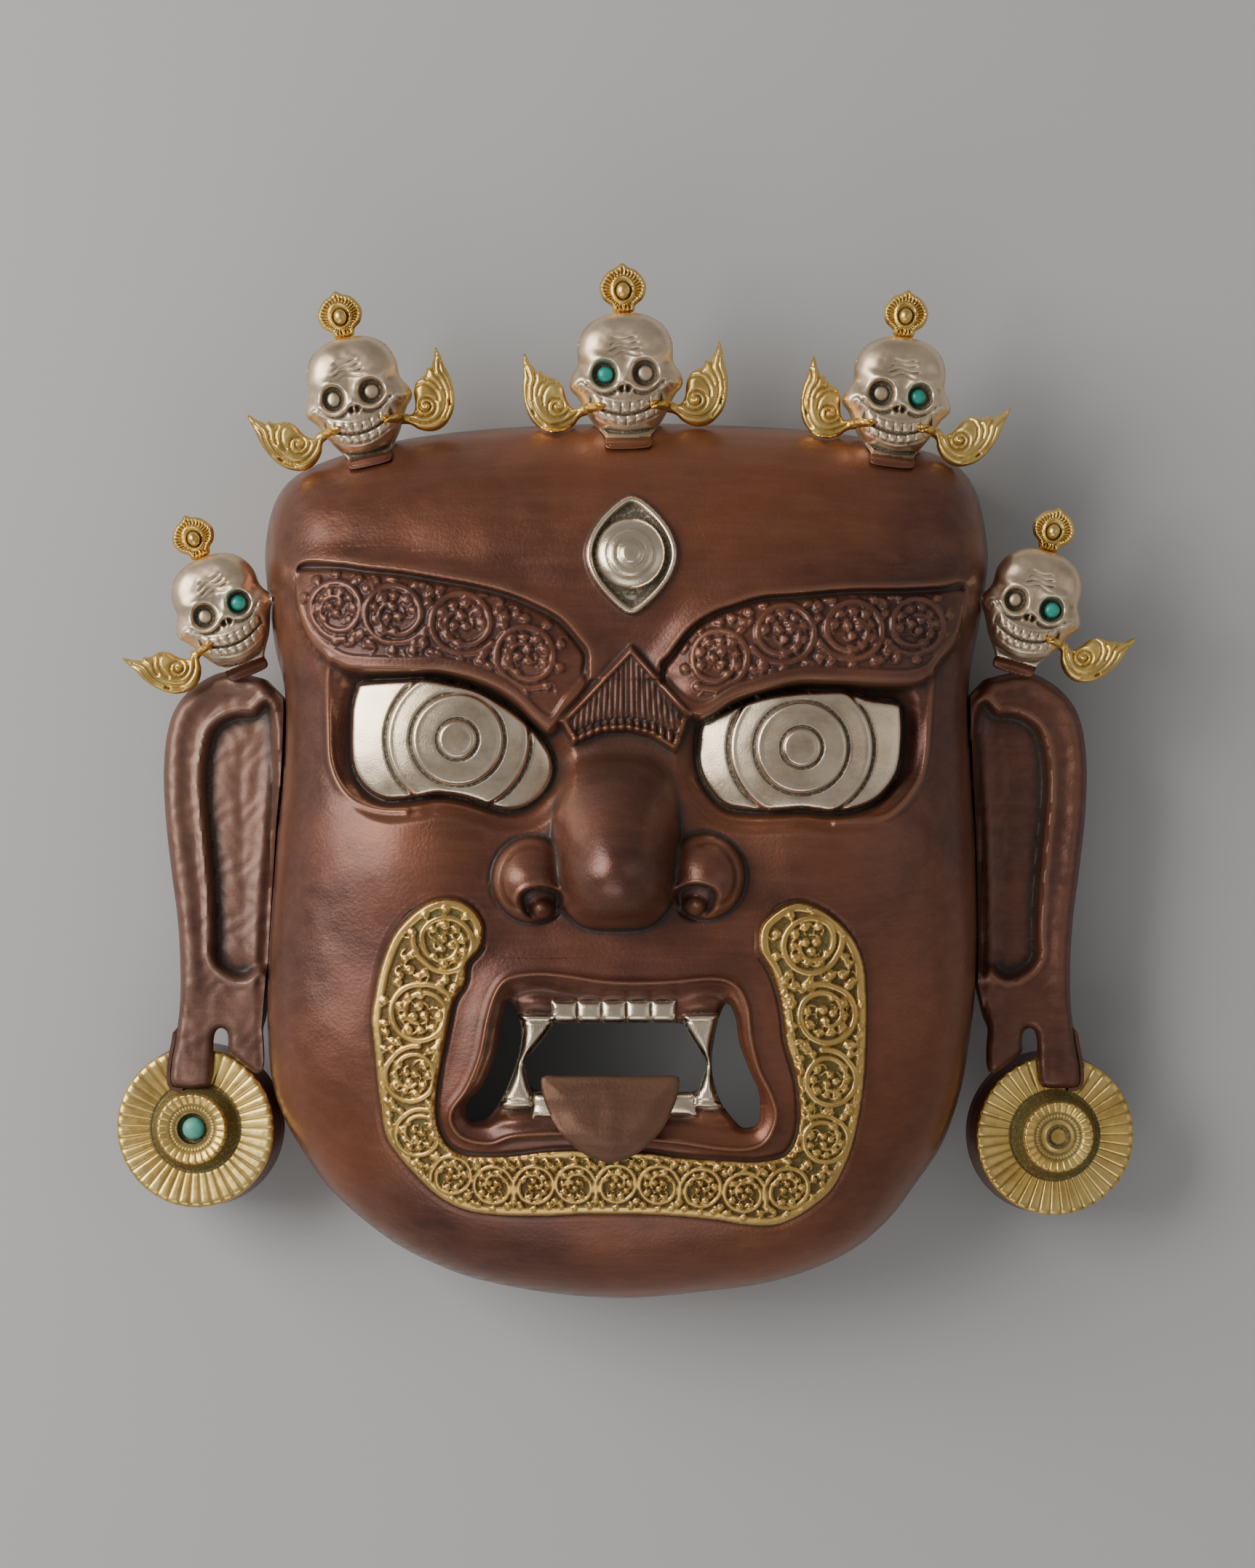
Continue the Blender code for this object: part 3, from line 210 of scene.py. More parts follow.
def pressSheet(name, outline, height, spacing, holes=(), wall=None, wallSteps=1, thickness=None, holeDrop=0.0,
               hollowReach=1.6, seams=(), grimeAndShade=None):
    deselectAll()
    spacing = spacing * coarser
    low, high = outline.min(0) - spacing, outline.max(0) + spacing
    cells = np.maximum(2, np.ceil((high - low) / spacing).astype(int))
    bpy.ops.mesh.primitive_grid_add(x_subdivisions=int(cells[0]), y_subdivisions=int(cells[1]), size=2)
    sheet = bpy.context.object
    sheet.name = name
    mesh = sheet.data
    mesh.name = name
    points = readPoints(mesh)
    points[:, 0] = low[0] + (points[:, 0] + 1) / 2 * (high[0] - low[0])
    points[:, 1] = low[1] + (points[:, 1] + 1) / 2 * (high[1] - low[1])
    order = np.lexsort((np.round(points[:, 0], 4), np.round(points[:, 1], 4)))
    columns = len(np.unique(np.round(points[:, 0], 4)))
    for line in seams:
        # where two metals meet, the nearest points move onto the line between them
        beside = np.abs(depthIn(points[:, 0], points[:, 1], line, 3)) < spacing * 0.52
        if beside.any():
            points[beside, 0], points[beside, 1] = drawnOnto(points[beside, 0], points[beside, 1], line)
    points[:, 2] = height(points[:, 0], points[:, 1])
    raised = points[order, 2].reshape(-1, columns)
    reach = max(1, round(hollowReach / spacing))
    around = softened(softened(raised, reach), reach)
    hollow = np.empty(len(points))
    hollow[order] = (around - raised).ravel() * min(1.0, hollowReach / (reach * spacing)) ** 2
    hollow *= ease(0, 2.5 * hollowReach if wall else 1.0, depthIn(points[:, 0], points[:, 1], outline))
    # extra darkening from the caller: on the face a painted shadow under the nose plate, on the skulls darker
    # sockets, mouth and chin
    if grimeAndShade:
        hollow += grimeAndShade(points[:, 0], points[:, 1])
    markHollow(mesh, hollow)
    writePoints(mesh, points)

    centres = np.empty(len(mesh.polygons) * 3)
    mesh.polygons.foreach_get("center", centres)
    centres = centres.reshape(-1, 3)
    dropped = depthIn(centres[:, 0], centres[:, 1], outline) < 0
    for hole in holes:
        dropped |= depthIn(centres[:, 0], centres[:, 1], hole) > 0
    for kind in (mesh.vertices, mesh.edges):
        kind.foreach_set("select", np.zeros(len(kind), bool))
    mesh.polygons.foreach_set("select", dropped)
    bpy.context.tool_settings.mesh_select_mode = (False, False, True)
    bpy.ops.object.mode_set(mode="EDIT")
    bpy.ops.mesh.delete(type="FACE")
    bpy.ops.object.mode_set(mode="OBJECT")

    # the stepped edge is drawn onto the outline
    points = readPoints(mesh)
    isOpen, ends = openEdges(mesh)
    rim = np.unique(ends[isOpen])
    rimX, rimY = points[rim, 0], points[rim, 1]
    lines = [outline, *holes]
    gaps = np.array([closestOn(rimX, rimY, line, True)[0] for line in lines])
    whose = gaps.argmin(0)
    for k, line in enumerate(lines):
        mine = rim[whose == k]
        if len(mine):
            points[mine, 0], points[mine, 1] = drawnOnto(points[mine, 0], points[mine, 1], line)
    points[rim, 2] = height(points[rim, 0], points[rim, 1])
    outerRim = np.zeros(len(points), bool)
    outerRim[rim[whose == 0]] = True
    writePoints(mesh, points)

    def drawWall(onRim, levels):
        chosen = isOpen & onRim[ends].all(1)
        for level in levels:
            pickEdges(mesh, chosen)
            bpy.ops.object.mode_set(mode="EDIT")
            bpy.ops.mesh.extrude_edges_indiv()
            bpy.ops.object.mode_set(mode="OBJECT")
            moved = np.zeros(len(mesh.vertices), bool)
            mesh.vertices.foreach_get("select", moved)
            now = readPoints(mesh)
            now[moved, 2] = level(now[moved, 0], now[moved, 1], now[moved, 2])
            writePoints(mesh, now)
            chosen = np.zeros(len(mesh.edges), bool)
            mesh.edges.foreach_get("select", chosen)

    if wall is not None:
        shares = [(k + 1) / wallSteps for k in range(wallSteps)]
        levels = []
        for i, share in enumerate(shares):
            left = 1.0 if i == 0 else 1 - shares[i - 1]
            step = (share - (shares[i - 1] if i else 0)) / left
            levels.append(lambda x, y, z, step=step: z + (wall(x, y) - z) * step)
        drawWall(outerRim, levels)
    if holeDrop:
        isOpen, ends = openEdges(mesh)
        holeRim = np.zeros(len(mesh.vertices), bool)
        holeRim[rim[whose > 0]] = True
        drawWall(holeRim, [lambda x, y, z: z - holeDrop])

    points = readPoints(mesh)
    writePoints(mesh, points * mm)
    bpy.context.tool_settings.mesh_select_mode = (False, False, True)
    mesh.polygons.foreach_set("select", np.ones(len(mesh.polygons), bool))
    bpy.ops.object.mode_set(mode="EDIT")
    bpy.ops.mesh.select_all(action="SELECT")
    bpy.ops.mesh.normals_make_consistent(inside=False)
    bpy.ops.object.mode_set(mode="OBJECT")
    facing = np.empty(len(mesh.polygons) * 3)
    mesh.polygons.foreach_get("normal", facing)
    if facing.reshape(-1, 3)[:, 2].sum() < 0:
        mesh.flip_normals()
    if thickness:
        made = sheet.modifiers.new("sheetThickness", "SOLIDIFY")
        made.thickness = thickness * mm
        made.offset = -1
        bpy.ops.object.modifier_apply(modifier=made.name)
    return sheet


def faceMiddles(mesh):
    centres = np.empty(len(mesh.polygons) * 3)
    normals = np.empty(len(mesh.polygons) * 3)
    mesh.polygons.foreach_get("center", centres)
    mesh.polygons.foreach_get("normal", normals)
    return centres.reshape(-1, 3) / mm, normals.reshape(-1, 3)


def finishPiece(sheet, finishes, nodes=(), paint=None, sharp=None):
    mesh = sheet.data
    for finish in finishes:
        mesh.materials.append(finish)
    if paint is not None:
        centres, normals = faceMiddles(mesh)
        mesh.polygons.foreach_set("material_index", paint(centres, normals).astype(int))
    mesh.polygons.foreach_set("use_smooth", np.ones(len(mesh.polygons), bool))
    if sharp:
        deselectAll()
        sheet.select_set(True)
        bpy.context.view_layer.objects.active = sheet
        bpy.ops.object.shade_smooth_by_angle(angle=math.radians(sharp))
    mesh.update()
    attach(sheet, "root")
    if nodes:
        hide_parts(*nodes)
    return sheet


# the finishes

def addNode(tree, kind, **values):
    made = tree.nodes.new(kind)
    for key, value in values.items():
        if key in made.inputs:
            made.inputs[key].default_value = value
        else:
            setattr(made, key, value)
    return made


def mixColour(tree, mask, first, second):
    mixer = addNode(tree, "ShaderNodeMix", data_type="RGBA")
    for socket, value in ((mixer.inputs[0], mask), (mixer.inputs[6], first), (mixer.inputs[7], second)):
        if isinstance(value, bpy.types.NodeSocket):
            tree.links.new(value, socket)
        elif isinstance(value, (tuple, list)):
            socket.default_value = (*value, 1)
        else:
            socket.default_value = value
    return mixer.outputs[2]


def ranged(tree, value, fromLow, fromHigh, toLow, toHigh):
    made = addNode(tree, "ShaderNodeMapRange")
    made.inputs[1].default_value, made.inputs[2].default_value = fromLow, fromHigh
    made.inputs[3].default_value, made.inputs[4].default_value = toLow, toHigh
    tree.links.new(value, made.inputs[0])
    return made.outputs[0]


def newGroup(name, inputs, outputs):
    tree = bpy.data.node_groups.new(name, "ShaderNodeTree")
    for label, value in inputs:
        tree.interface.new_socket(label, in_out="INPUT", socket_type="NodeSocketFloat").default_value = value
    for label in outputs:
        tree.interface.new_socket(label, in_out="OUTPUT", socket_type="NodeSocketFloat")
    return tree, tree.nodes.new("NodeGroupInput"), tree.nodes.new("NodeGroupOutput")


def makeMottle():
    tree, inward, outward = newGroup("oldMottle", [("Size", 40.0), ("Spread", 0.5)], ["Clouds", "Specks"])
    place = addNode(tree, "ShaderNodeTexCoord")
    clouds = addNode(tree, "ShaderNodeTexNoise", Detail=6.0, Roughness=0.62)
    tree.links.new(place.outputs["Object"], clouds.inputs["Vector"])
    tree.links.new(inward.outputs["Size"], clouds.inputs["Scale"])
    tree.links.new(ranged(tree, clouds.outputs[0], 0.36, 0.66, 0.0, 1.0), outward.inputs["Clouds"])
    specks = addNode(tree, "ShaderNodeTexNoise", Detail=3.0, Roughness=0.7)
    finer = addNode(tree, "ShaderNodeMath", operation="MULTIPLY")
    tree.links.new(inward.outputs["Size"], finer.inputs[0])
    finer.inputs[1].default_value = 14.0
    tree.links.new(place.outputs["Object"], specks.inputs["Vector"])
    tree.links.new(finer.outputs[0], specks.inputs["Scale"])
    tree.links.new(ranged(tree, specks.outputs[0], 0.5, 0.72, 0.0, 1.0), outward.inputs["Specks"])
    return tree


def makeHollowDirt():
    tree, inward, outward = newGroup("hollowDirt", [("Reach", 0.5)], ["Dirt", "Worn"])
    read = addNode(tree, "ShaderNodeAttribute", attribute_name="hollow")
    ratio = addNode(tree, "ShaderNodeMath", operation="DIVIDE")
    tree.links.new(read.outputs["Fac"], ratio.inputs[0])
    tree.links.new(inward.outputs["Reach"], ratio.inputs[1])
    tree.links.new(ranged(tree, ratio.outputs[0], 0.1, 1.0, 0.0, 1.0), outward.inputs["Dirt"])
    tree.links.new(ranged(tree, ratio.outputs[0], -0.15, -1.0, 0.0, 1.0), outward.inputs["Worn"])
    return tree


def makeHammer():
    tree, inward, outward = newGroup("hammerMarks", [("Size", 160.0), ("Grain", 900.0)], ["Height"])
    place = addNode(tree, "ShaderNodeTexCoord")
    dents = addNode(tree, "ShaderNodeTexVoronoi", feature="SMOOTH_F1", Smoothness=0.8)
    tree.links.new(place.outputs["Object"], dents.inputs["Vector"])
    tree.links.new(inward.outputs["Size"], dents.inputs["Scale"])
    grain = addNode(tree, "ShaderNodeTexNoise", Detail=5.0, Roughness=0.6)
    tree.links.new(place.outputs["Object"], grain.inputs["Vector"])
    tree.links.new(inward.outputs["Grain"], grain.inputs["Scale"])
    total = addNode(tree, "ShaderNodeMath", operation="MULTIPLY_ADD")
    tree.links.new(grain.outputs[0], total.inputs[0])
    total.inputs[1].default_value = 0.35
    tree.links.new(dents.outputs["Distance"], total.inputs[2])
    tree.links.new(total.outputs[0], outward.inputs["Height"])
    return tree


def makeScratches():
    tree, inward, outward = newGroup("fineScratches", [("Size", 260.0)], ["Lines"])
    place = addNode(tree, "ShaderNodeTexCoord")
    turned = addNode(tree, "ShaderNodeMapping")
    turned.inputs["Rotation"].default_value = (0.2, 0.1, 0.7)
    turned.inputs["Scale"].default_value = (0.12, 1.0, 1.0)
    lines = addNode(tree, "ShaderNodeTexNoise", Detail=4.0, Roughness=0.7, Distortion=0.4)
    tree.links.new(place.outputs["Object"], turned.inputs["Vector"])
    tree.links.new(turned.outputs[0], lines.inputs["Vector"])
    tree.links.new(inward.outputs["Size"], lines.inputs["Scale"])
    tree.links.new(ranged(tree, lines.outputs[0], 0.42, 0.68, 0.0, 1.0), outward.inputs["Lines"])
    return tree


mottle, hollowDirt, hammerMarks, fineScratches = makeMottle(), makeHollowDirt(), makeHammer(), makeScratches()


def placeGroup(tree, group, **values):
    made = addNode(tree, "ShaderNodeGroup", node_tree=group)
    for key, value in values.items():
        made.inputs[key].default_value = value
    return made


def makeFinish(name, look):
    made = bpy.data.materials.new(name)
    made.use_nodes = True
    tree = made.node_tree
    shader = tree.nodes["Principled BSDF"]
    patches = placeGroup(tree, mottle, Size=look["mottleSize"])
    broad = placeGroup(tree, mottle, Size=look["mottleSize"] * 0.3)
    dirtAndShade = placeGroup(tree, hollowDirt, Reach=look["dirtAndShadeReach"])
    scratches = placeGroup(tree, fineScratches, Size=look["scratchSize"])
    dents = placeGroup(tree, hammerMarks, Size=look["dentSize"], Grain=look["grainSize"])
    colour = mixColour(tree, patches.outputs["Clouds"], look["dark"], look["main"])
    colour = mixColour(tree, ranged(tree, broad.outputs["Clouds"], 0.25, 1.0, 0.0, look["warmShare"]), colour,
                       look["warm"])
    colour = mixColour(tree, ranged(tree, dirtAndShade.outputs["Worn"], 0.0, 1.0, 0.0, look["wornShare"]), colour,
                       look["worn"])
    colour = mixColour(tree, ranged(tree, scratches.outputs["Lines"], 0.0, 1.0, 0.0, look["scratchShare"]), colour,
                       look["worn"])
    # hollows darkened with dirt, and on the face with the painted shadow under the nose plate
    grimeAndShade = addNode(tree, "ShaderNodeMath", operation="MULTIPLY")
    tree.links.new(dirtAndShade.outputs["Dirt"], grimeAndShade.inputs[0])
    tree.links.new(ranged(tree, patches.outputs["Specks"], 0.0, 1.0, 1.0, 0.55), grimeAndShade.inputs[1])
    crust = mixColour(tree, ranged(tree, broad.outputs["Clouds"], 0.0, 1.0, 0.0, look["crustShare"]), look["grimeAndShade"],
                      look["crust"])
    colour = mixColour(tree, grimeAndShade.outputs[0], colour, crust)
    tree.links.new(colour, shader.inputs["Base Color"])
    dull = ranged(tree, grimeAndShade.outputs[0], 0.0, 1.0, look["metal"], look["metal"] * 0.25)
    tree.links.new(dull, shader.inputs["Metallic"])
    rough = addNode(tree, "ShaderNodeMath", operation="ADD")
    tree.links.new(ranged(tree, patches.outputs["Clouds"], 0.0, 1.0, look["rough"][0], look["rough"][1]),
                   rough.inputs[0])
    tree.links.new(ranged(tree, grimeAndShade.outputs[0], 0.0, 1.0, 0.0, 0.3), rough.inputs[1])
    tree.links.new(rough.outputs[0], shader.inputs["Roughness"])
    relief = addNode(tree, "ShaderNodeBump")
    relief.inputs["Strength"].default_value = look["bump"]
    relief.inputs["Distance"].default_value = 0.0006
    tree.links.new(dents.outputs["Height"], relief.inputs["Height"])
    tree.links.new(relief.outputs["Normal"], shader.inputs["Normal"])
    shader.inputs["Coat Weight"].default_value = look["coat"]
    shader.inputs["Coat Roughness"].default_value = 0.25
    return made


copperLook = {
    "main": (0.170, 0.058, 0.035), "dark": (0.090, 0.033, 0.023), "warm": (0.34, 0.105, 0.034), "warmShare": 0.55,
    "worn": (0.36, 0.17, 0.10), "wornShare": 0.5, "scratchShare": 0.16, "grimeAndShade": (0.038, 0.018, 0.012),
    "crust": (0.065, 0.040, 0.024), "crustShare": 0.6, "metal": 0.55, "rough": (0.30, 0.42), "mottleSize": 22.0,
    "scratchSize": 200.0, "dentSize": 85.0, "grainSize": 800.0, "dirtAndShadeReach": 0.9, "bump": 0.75, "coat": 0.3,
}
# painted light: copper for the left ear, made paler as if lit from the left
litSideCopperLook = dict(copperLook, main=(0.180, 0.080, 0.054), dark=(0.115, 0.048, 0.033), warm=(0.28, 0.145, 0.095),
                      warmShare=0.5,
                      worn=(0.36, 0.22, 0.155), rough=(0.42, 0.55), mottleSize=60.0, bump=0.5)
# painted shade: copper for the right ear, made darker as if in shade
shadeSideCopperLook = dict(copperLook, main=(0.135, 0.048, 0.029), warm=(0.20, 0.070, 0.035), warmShare=0.3,
                      rough=(0.40, 0.52), mottleSize=45.0)
tongueLook = dict(copperLook, main=(0.19, 0.092, 0.052), dark=(0.13, 0.060, 0.036), warm=(0.24, 0.12, 0.075),
                  worn=(0.28, 0.16, 0.10),
                  rough=(0.48, 0.58), metal=0.6, scratchShare=0.25, coat=0.0)
silverLook = {
    "main": (0.88, 0.67, 0.45), "dark": (0.66, 0.49, 0.32), "warm": (0.92, 0.75, 0.54), "warmShare": 0.5,
    "worn": (0.93, 0.80, 0.63), "wornShare": 0.4, "scratchShare": 0.25, "grimeAndShade": (0.085, 0.066, 0.042),
    "crust": (0.13, 0.115, 0.075), "crustShare": 0.6, "metal": 1.0, "rough": (0.32, 0.42), "mottleSize": 90.0,
    "scratchSize": 420.0, "dentSize": 300.0, "grainSize": 1600.0, "dirtAndShadeReach": 0.30, "bump": 0.10, "coat": 0.0,
}
eyeSilverLook = dict(silverLook, main=(0.96, 0.76, 0.54), warm=(0.98, 0.83, 0.64), rough=(0.20, 0.32),
                     mottleSize=60.0, dentSize=110.0, bump=0.35, scratchShare=0.35)
giltLook = {
    "main": (0.98, 0.66, 0.18), "dark": (0.64, 0.38, 0.09), "warm": (1.0, 0.74, 0.28), "warmShare": 0.6,
    "worn": (1.0, 0.80, 0.36), "wornShare": 0.6, "scratchShare": 0.12, "grimeAndShade": (0.11, 0.060, 0.016),
    "crust": (0.15, 0.155, 0.050), "crustShare": 0.8, "metal": 1.0, "rough": (0.28, 0.40), "mottleSize": 90.0,
    "scratchSize": 500.0, "dentSize": 420.0, "grainSize": 1800.0, "dirtAndShadeReach": 0.45, "bump": 0.12, "coat": 0.0,
}
beardGiltLook = dict(giltLook, main=(0.68, 0.38, 0.085), dark=(0.42, 0.21, 0.045), warm=(0.76, 0.46, 0.12),
                     worn=(0.88, 0.60, 0.22),
                     dirtAndShadeReach=0.26)
stoneLook = {
    "main": (0.012, 0.36, 0.29), "dark": (0.008, 0.22, 0.18), "warm": (0.03, 0.46, 0.37), "warmShare": 0.5,
    "worn": (0.10, 0.56, 0.48), "wornShare": 0.2, "scratchShare": 0.1, "grimeAndShade": (0.03, 0.06, 0.04),
    "crust": (0.05, 0.05, 0.03), "crustShare": 0.5, "metal": 0.0, "rough": (0.25, 0.4), "mottleSize": 420.0,
    "scratchSize": 500.0, "dentSize": 600.0, "grainSize": 2000.0, "dirtAndShadeReach": 2.0, "bump": 0.08, "coat": 0.3,
}
copper = makeFinish("agedCopper", copperLook)
litSideCopper = makeFinish("copperLitSide", litSideCopperLook)
shadeSideCopper = makeFinish("copperShadeSide", shadeSideCopperLook)
tongueCopper = makeFinish("dullCopper", tongueLook)
silver = makeFinish("warmSilver", silverLook)
eyeSilver = makeFinish("brightSilver", eyeSilverLook)
gilt = makeFinish("wornGilt", giltLook)
beardGilt = makeFinish("deepGilt", beardGiltLook)
turquoise = makeFinish("turquoise", stoneLook)
paleTurquoise = makeFinish("chalkyTurquoise", dict(stoneLook, main=(0.16, 0.50, 0.36), dark=(0.09, 0.34, 0.24),
                                                   rough=(0.4, 0.55)))
print("finishes made")


# the face

face = {
    "centre": (0.0, -20.0), "sideWall": 42.0, "domeRise": 46.0, "sheet": 1.5, "muzzleRise": 8.0, "browRise": 5.0,
    "ledge": 5.0, "noseRise": 32.9, "wingRise": 16.0, "lipSink": 7.0, "beardRise": 2.4,
    "outline": [
        (0, 129.0), (42, 128.0), (75, 125.5), (104, 120.0), (118, 114.5), (125.5, 105.0), (129.0, 91.0),
        (130.0, 78.0),
        (127.5, 60.0), (123.2, 35.0), (123.6, 10.0), (125.2, -18.0), (126.0, -50.0), (125.4, -75.0), (123.0, -95.0),
        (120.2, -110.5), (114.0, -128.5), (105.0, -142.5), (93.0, -158.0), (77.0, -170.0), (53.0, -178.8),
        (25.0, -182.8), (0, -184.8), (-25.0, -183.2), (-50.8, -178.6), (-68.0, -172.6), (-85.0, -163.5),
        (-104.4, -147.2), (-115.0, -133.0), (-123.5, -117.5), (-127.2, -103.0), (-128.3, -85.0), (-128.0, -65.0),
        (-124.9, -20.0), (-122.6, 5.0), (-122.0, 32.0), (-125.8, 50.0), (-129.0, 76.0), (-128.4, 90.0),
        (-125.0, 102.0),
        (-118.0, 110.2), (-104.7, 116.4), (-80.6, 123.0), (-45.0, 127.2),
    ],
    "upperRegion": [(-119.5, 80), (-116, 84), (-98, 85.5), (-70, 83.5), (-46, 80), (-27, 86), (-20, 97), (-8, 104.5),
                    (2, 107),
                    (12, 104.5), (24, 97), (30, 84), (48, 75.5), (75, 77), (100, 78.5), (118, 80.5), (123.5, 77),
                    (123, 60),
                    (118.5, 42), (114, 25), (113, 5), (109, -9), (98, -21), (78, -27), (62, -31), (50, -36),
                    (47.5, -48),
                    (46, -62.5), (0, -62.5), (-46.5, -62.5), (-49, -48), (-52, -36), (-64, -30), (-80, -23),
                    (-96, -18),
                    (-107, -9), (-111, 5), (-111.5, 22), (-111, 42), (-117, 52), (-119.5, 66)],
    "lowerRegion": [(-66, -35.5), (-77, -40.5), (-85, -50), (-89.5, -62), (-92.5, -80), (-91.5, -95), (-90, -113),
                    (-88, -125),
                    (-83, -133), (-77, -140.5), (-69, -148), (-59, -153.5), (-47, -155.5), (-29, -156), (-2, -155),
                    (14, -155.5),
                    (30, -157), (41, -159), (52, -160), (61, -157), (69, -152), (76, -145.5), (80.5, -137),
                    (84, -127.5),
                    (86, -117), (87.5, -105), (88.5, -93), (88.5, -80), (87, -61), (82.5, -50.5), (75, -42),
                    (66, -37.5),
                    (58, -36), (49, -39), (43, -50), (41, -57.5), (0, -57.5), (-41, -57.5), (-44, -50), (-47, -42),
                    (-54, -36)],
    "relief": 0.55, "lowerRelief": 0.46, "plain": 1.9, "dip": 0.12, "lift": 0.02, "sink": 1.6,
}
browShapes = [
    [(-114, 76.5), (-100.2, 76.4), (-90.2, 74.9), (-77.2, 73.4), (-64.9, 71.2), (-52.4, 68.9), (-40.4, 65.7),
     (-30.7, 61.7),
     (-22.6, 57.2), (-16.6, 50.7), (-12.6, 44.7), (-14.1, 37.2), (-20.6, 28.9), (-25.6, 22.4), (-30.7, 25.4),
     (-37.4, 31.9), (-44.4, 36.7), (-54.4, 40.7), (-64.9, 42.9), (-75.2, 42.9), (-90.2, 43.4), (-98.2, 44.7),
     (-106.2, 49.7), (-111.2, 55.7), (-115.0, 65.7)],
    [(12.1, 40.2), (15.4, 44.7), (22.4, 53.7), (30.4, 59.2), (37.4, 61.7), (47.4, 64.7), (60.2, 65.7), (77.2, 67.2),
     (97.0, 67.7), (110.0, 68.7), (119.5, 69.7), (117.0, 54.7), (111.0, 47.7), (105.0, 40.7), (97.0, 38.7),
     (87.2, 38.7), (72.2, 39.2), (60.2, 39.2), (47.4, 36.2), (37.4, 32.9), (26.4, 26.9), (17.5, 31.5)],
]
eyeShapes = [
    [(-93.6, 32.7), (-91.0, 35.0), (-71.1, 36.0), (-61.0, 34.5), (-50.9, 31.7), (-40.8, 26.1), (-33.5, 20.1),
     (-26.9, 12.0), (-24.9, 3.9), (-27.9, -3.2), (-34.7, -8.5), (-41.8, -9.5), (-47.9, -7.5), (-56.9, -4.7),
     (-65.5, -3.7), (-71.1, -4.7), (-83.0, -5.7), (-91.0, -1.1), (-95.1, 6.9), (-95.6, 20.1), (-95.1, 27.1)],
    [(25.1, 13.0), (26.6, 21.1), (32.7, 24.1), (39.8, 27.1), (47.9, 29.7), (57.7, 31.2), (67.8, 31.7), (75.9, 31.7),
     (85.0, 29.2), (94.8, 27.7), (96.3, 24.1), (96.3, 13.0), (94.3, 2.9), (88.0, -5.2), (79.9, -9.0), (70.8, -10.0),
     (61.7, -9.0), (51.9, -9.5), (42.8, -9.5), (34.7, -8.0), (28.7, -2.1), (25.6, 4.9)],
]
browTops = [
    [(-122, 78), (-114, 76.8), (-100.2, 76.4), (-90.2, 74.9), (-77.2, 73.4), (-64.9, 71.2), (-52.4, 68.9),
     (-40.4, 65.7), (-30.7, 61.7),
     (-22.6, 57.2), (-16.6, 50.7), (-12.6, 44.7), (-13.0, 38)],
    [(12.1, 36), (12.1, 40.2), (15.4, 44.7), (22.4, 53.7), (30.4, 59.2), (37.4, 61.7), (47.4, 64.7), (60.2, 65.7),
     (77.2, 67.2),
     (97.0, 67.7), (110.0, 68.7), (125, 70.5)],
]
eye = {"centres": [(-58.0, 15.0), (61.0, 12.2)], "rings": (6.4, 15.6, 24.6), "step": 1.15, "level": 79.6,
       "bulge": 10.8}
socketFolds = [
    [(-102.8, 46), (-104.2, 34), (-103.8, 20.1), (-102.8, 7.0), (-97.3, -3.2), (-88.1, -8.5), (-76.0, -9.5)],
    [(107.6, 38), (106.8, 24.2), (105.6, 10.0), (102.5, 0.0), (94.2, -9.5), (85.1, -13.0), (73.0, -13.5)],
]
thirdEye = {"centre": (2.2, 79.4), "half": [(0, 20.4), (6.8, 16.4), (13.2, 8.6), (15.8, 0), (13.2, -8.8),
                                            (6.8, -16.6), (0, -21)],
            "ball": 12.6, "rings": (3.3, 4.6, 7.8)}
bridgePlate = {"shape": [(2.1, 47.2), (12.3, 35.5), (22.4, 23.9), (20.0, 17.0), (17.4, 10.9), (8.9, 16.2),
                         (0.6, 18.4), (-8.6, 17.9),
                         (-17.7, 13.9), (-20.0, 17.5), (-22.2, 21.4), (-10, 34.3)], "pitch": 2.0}
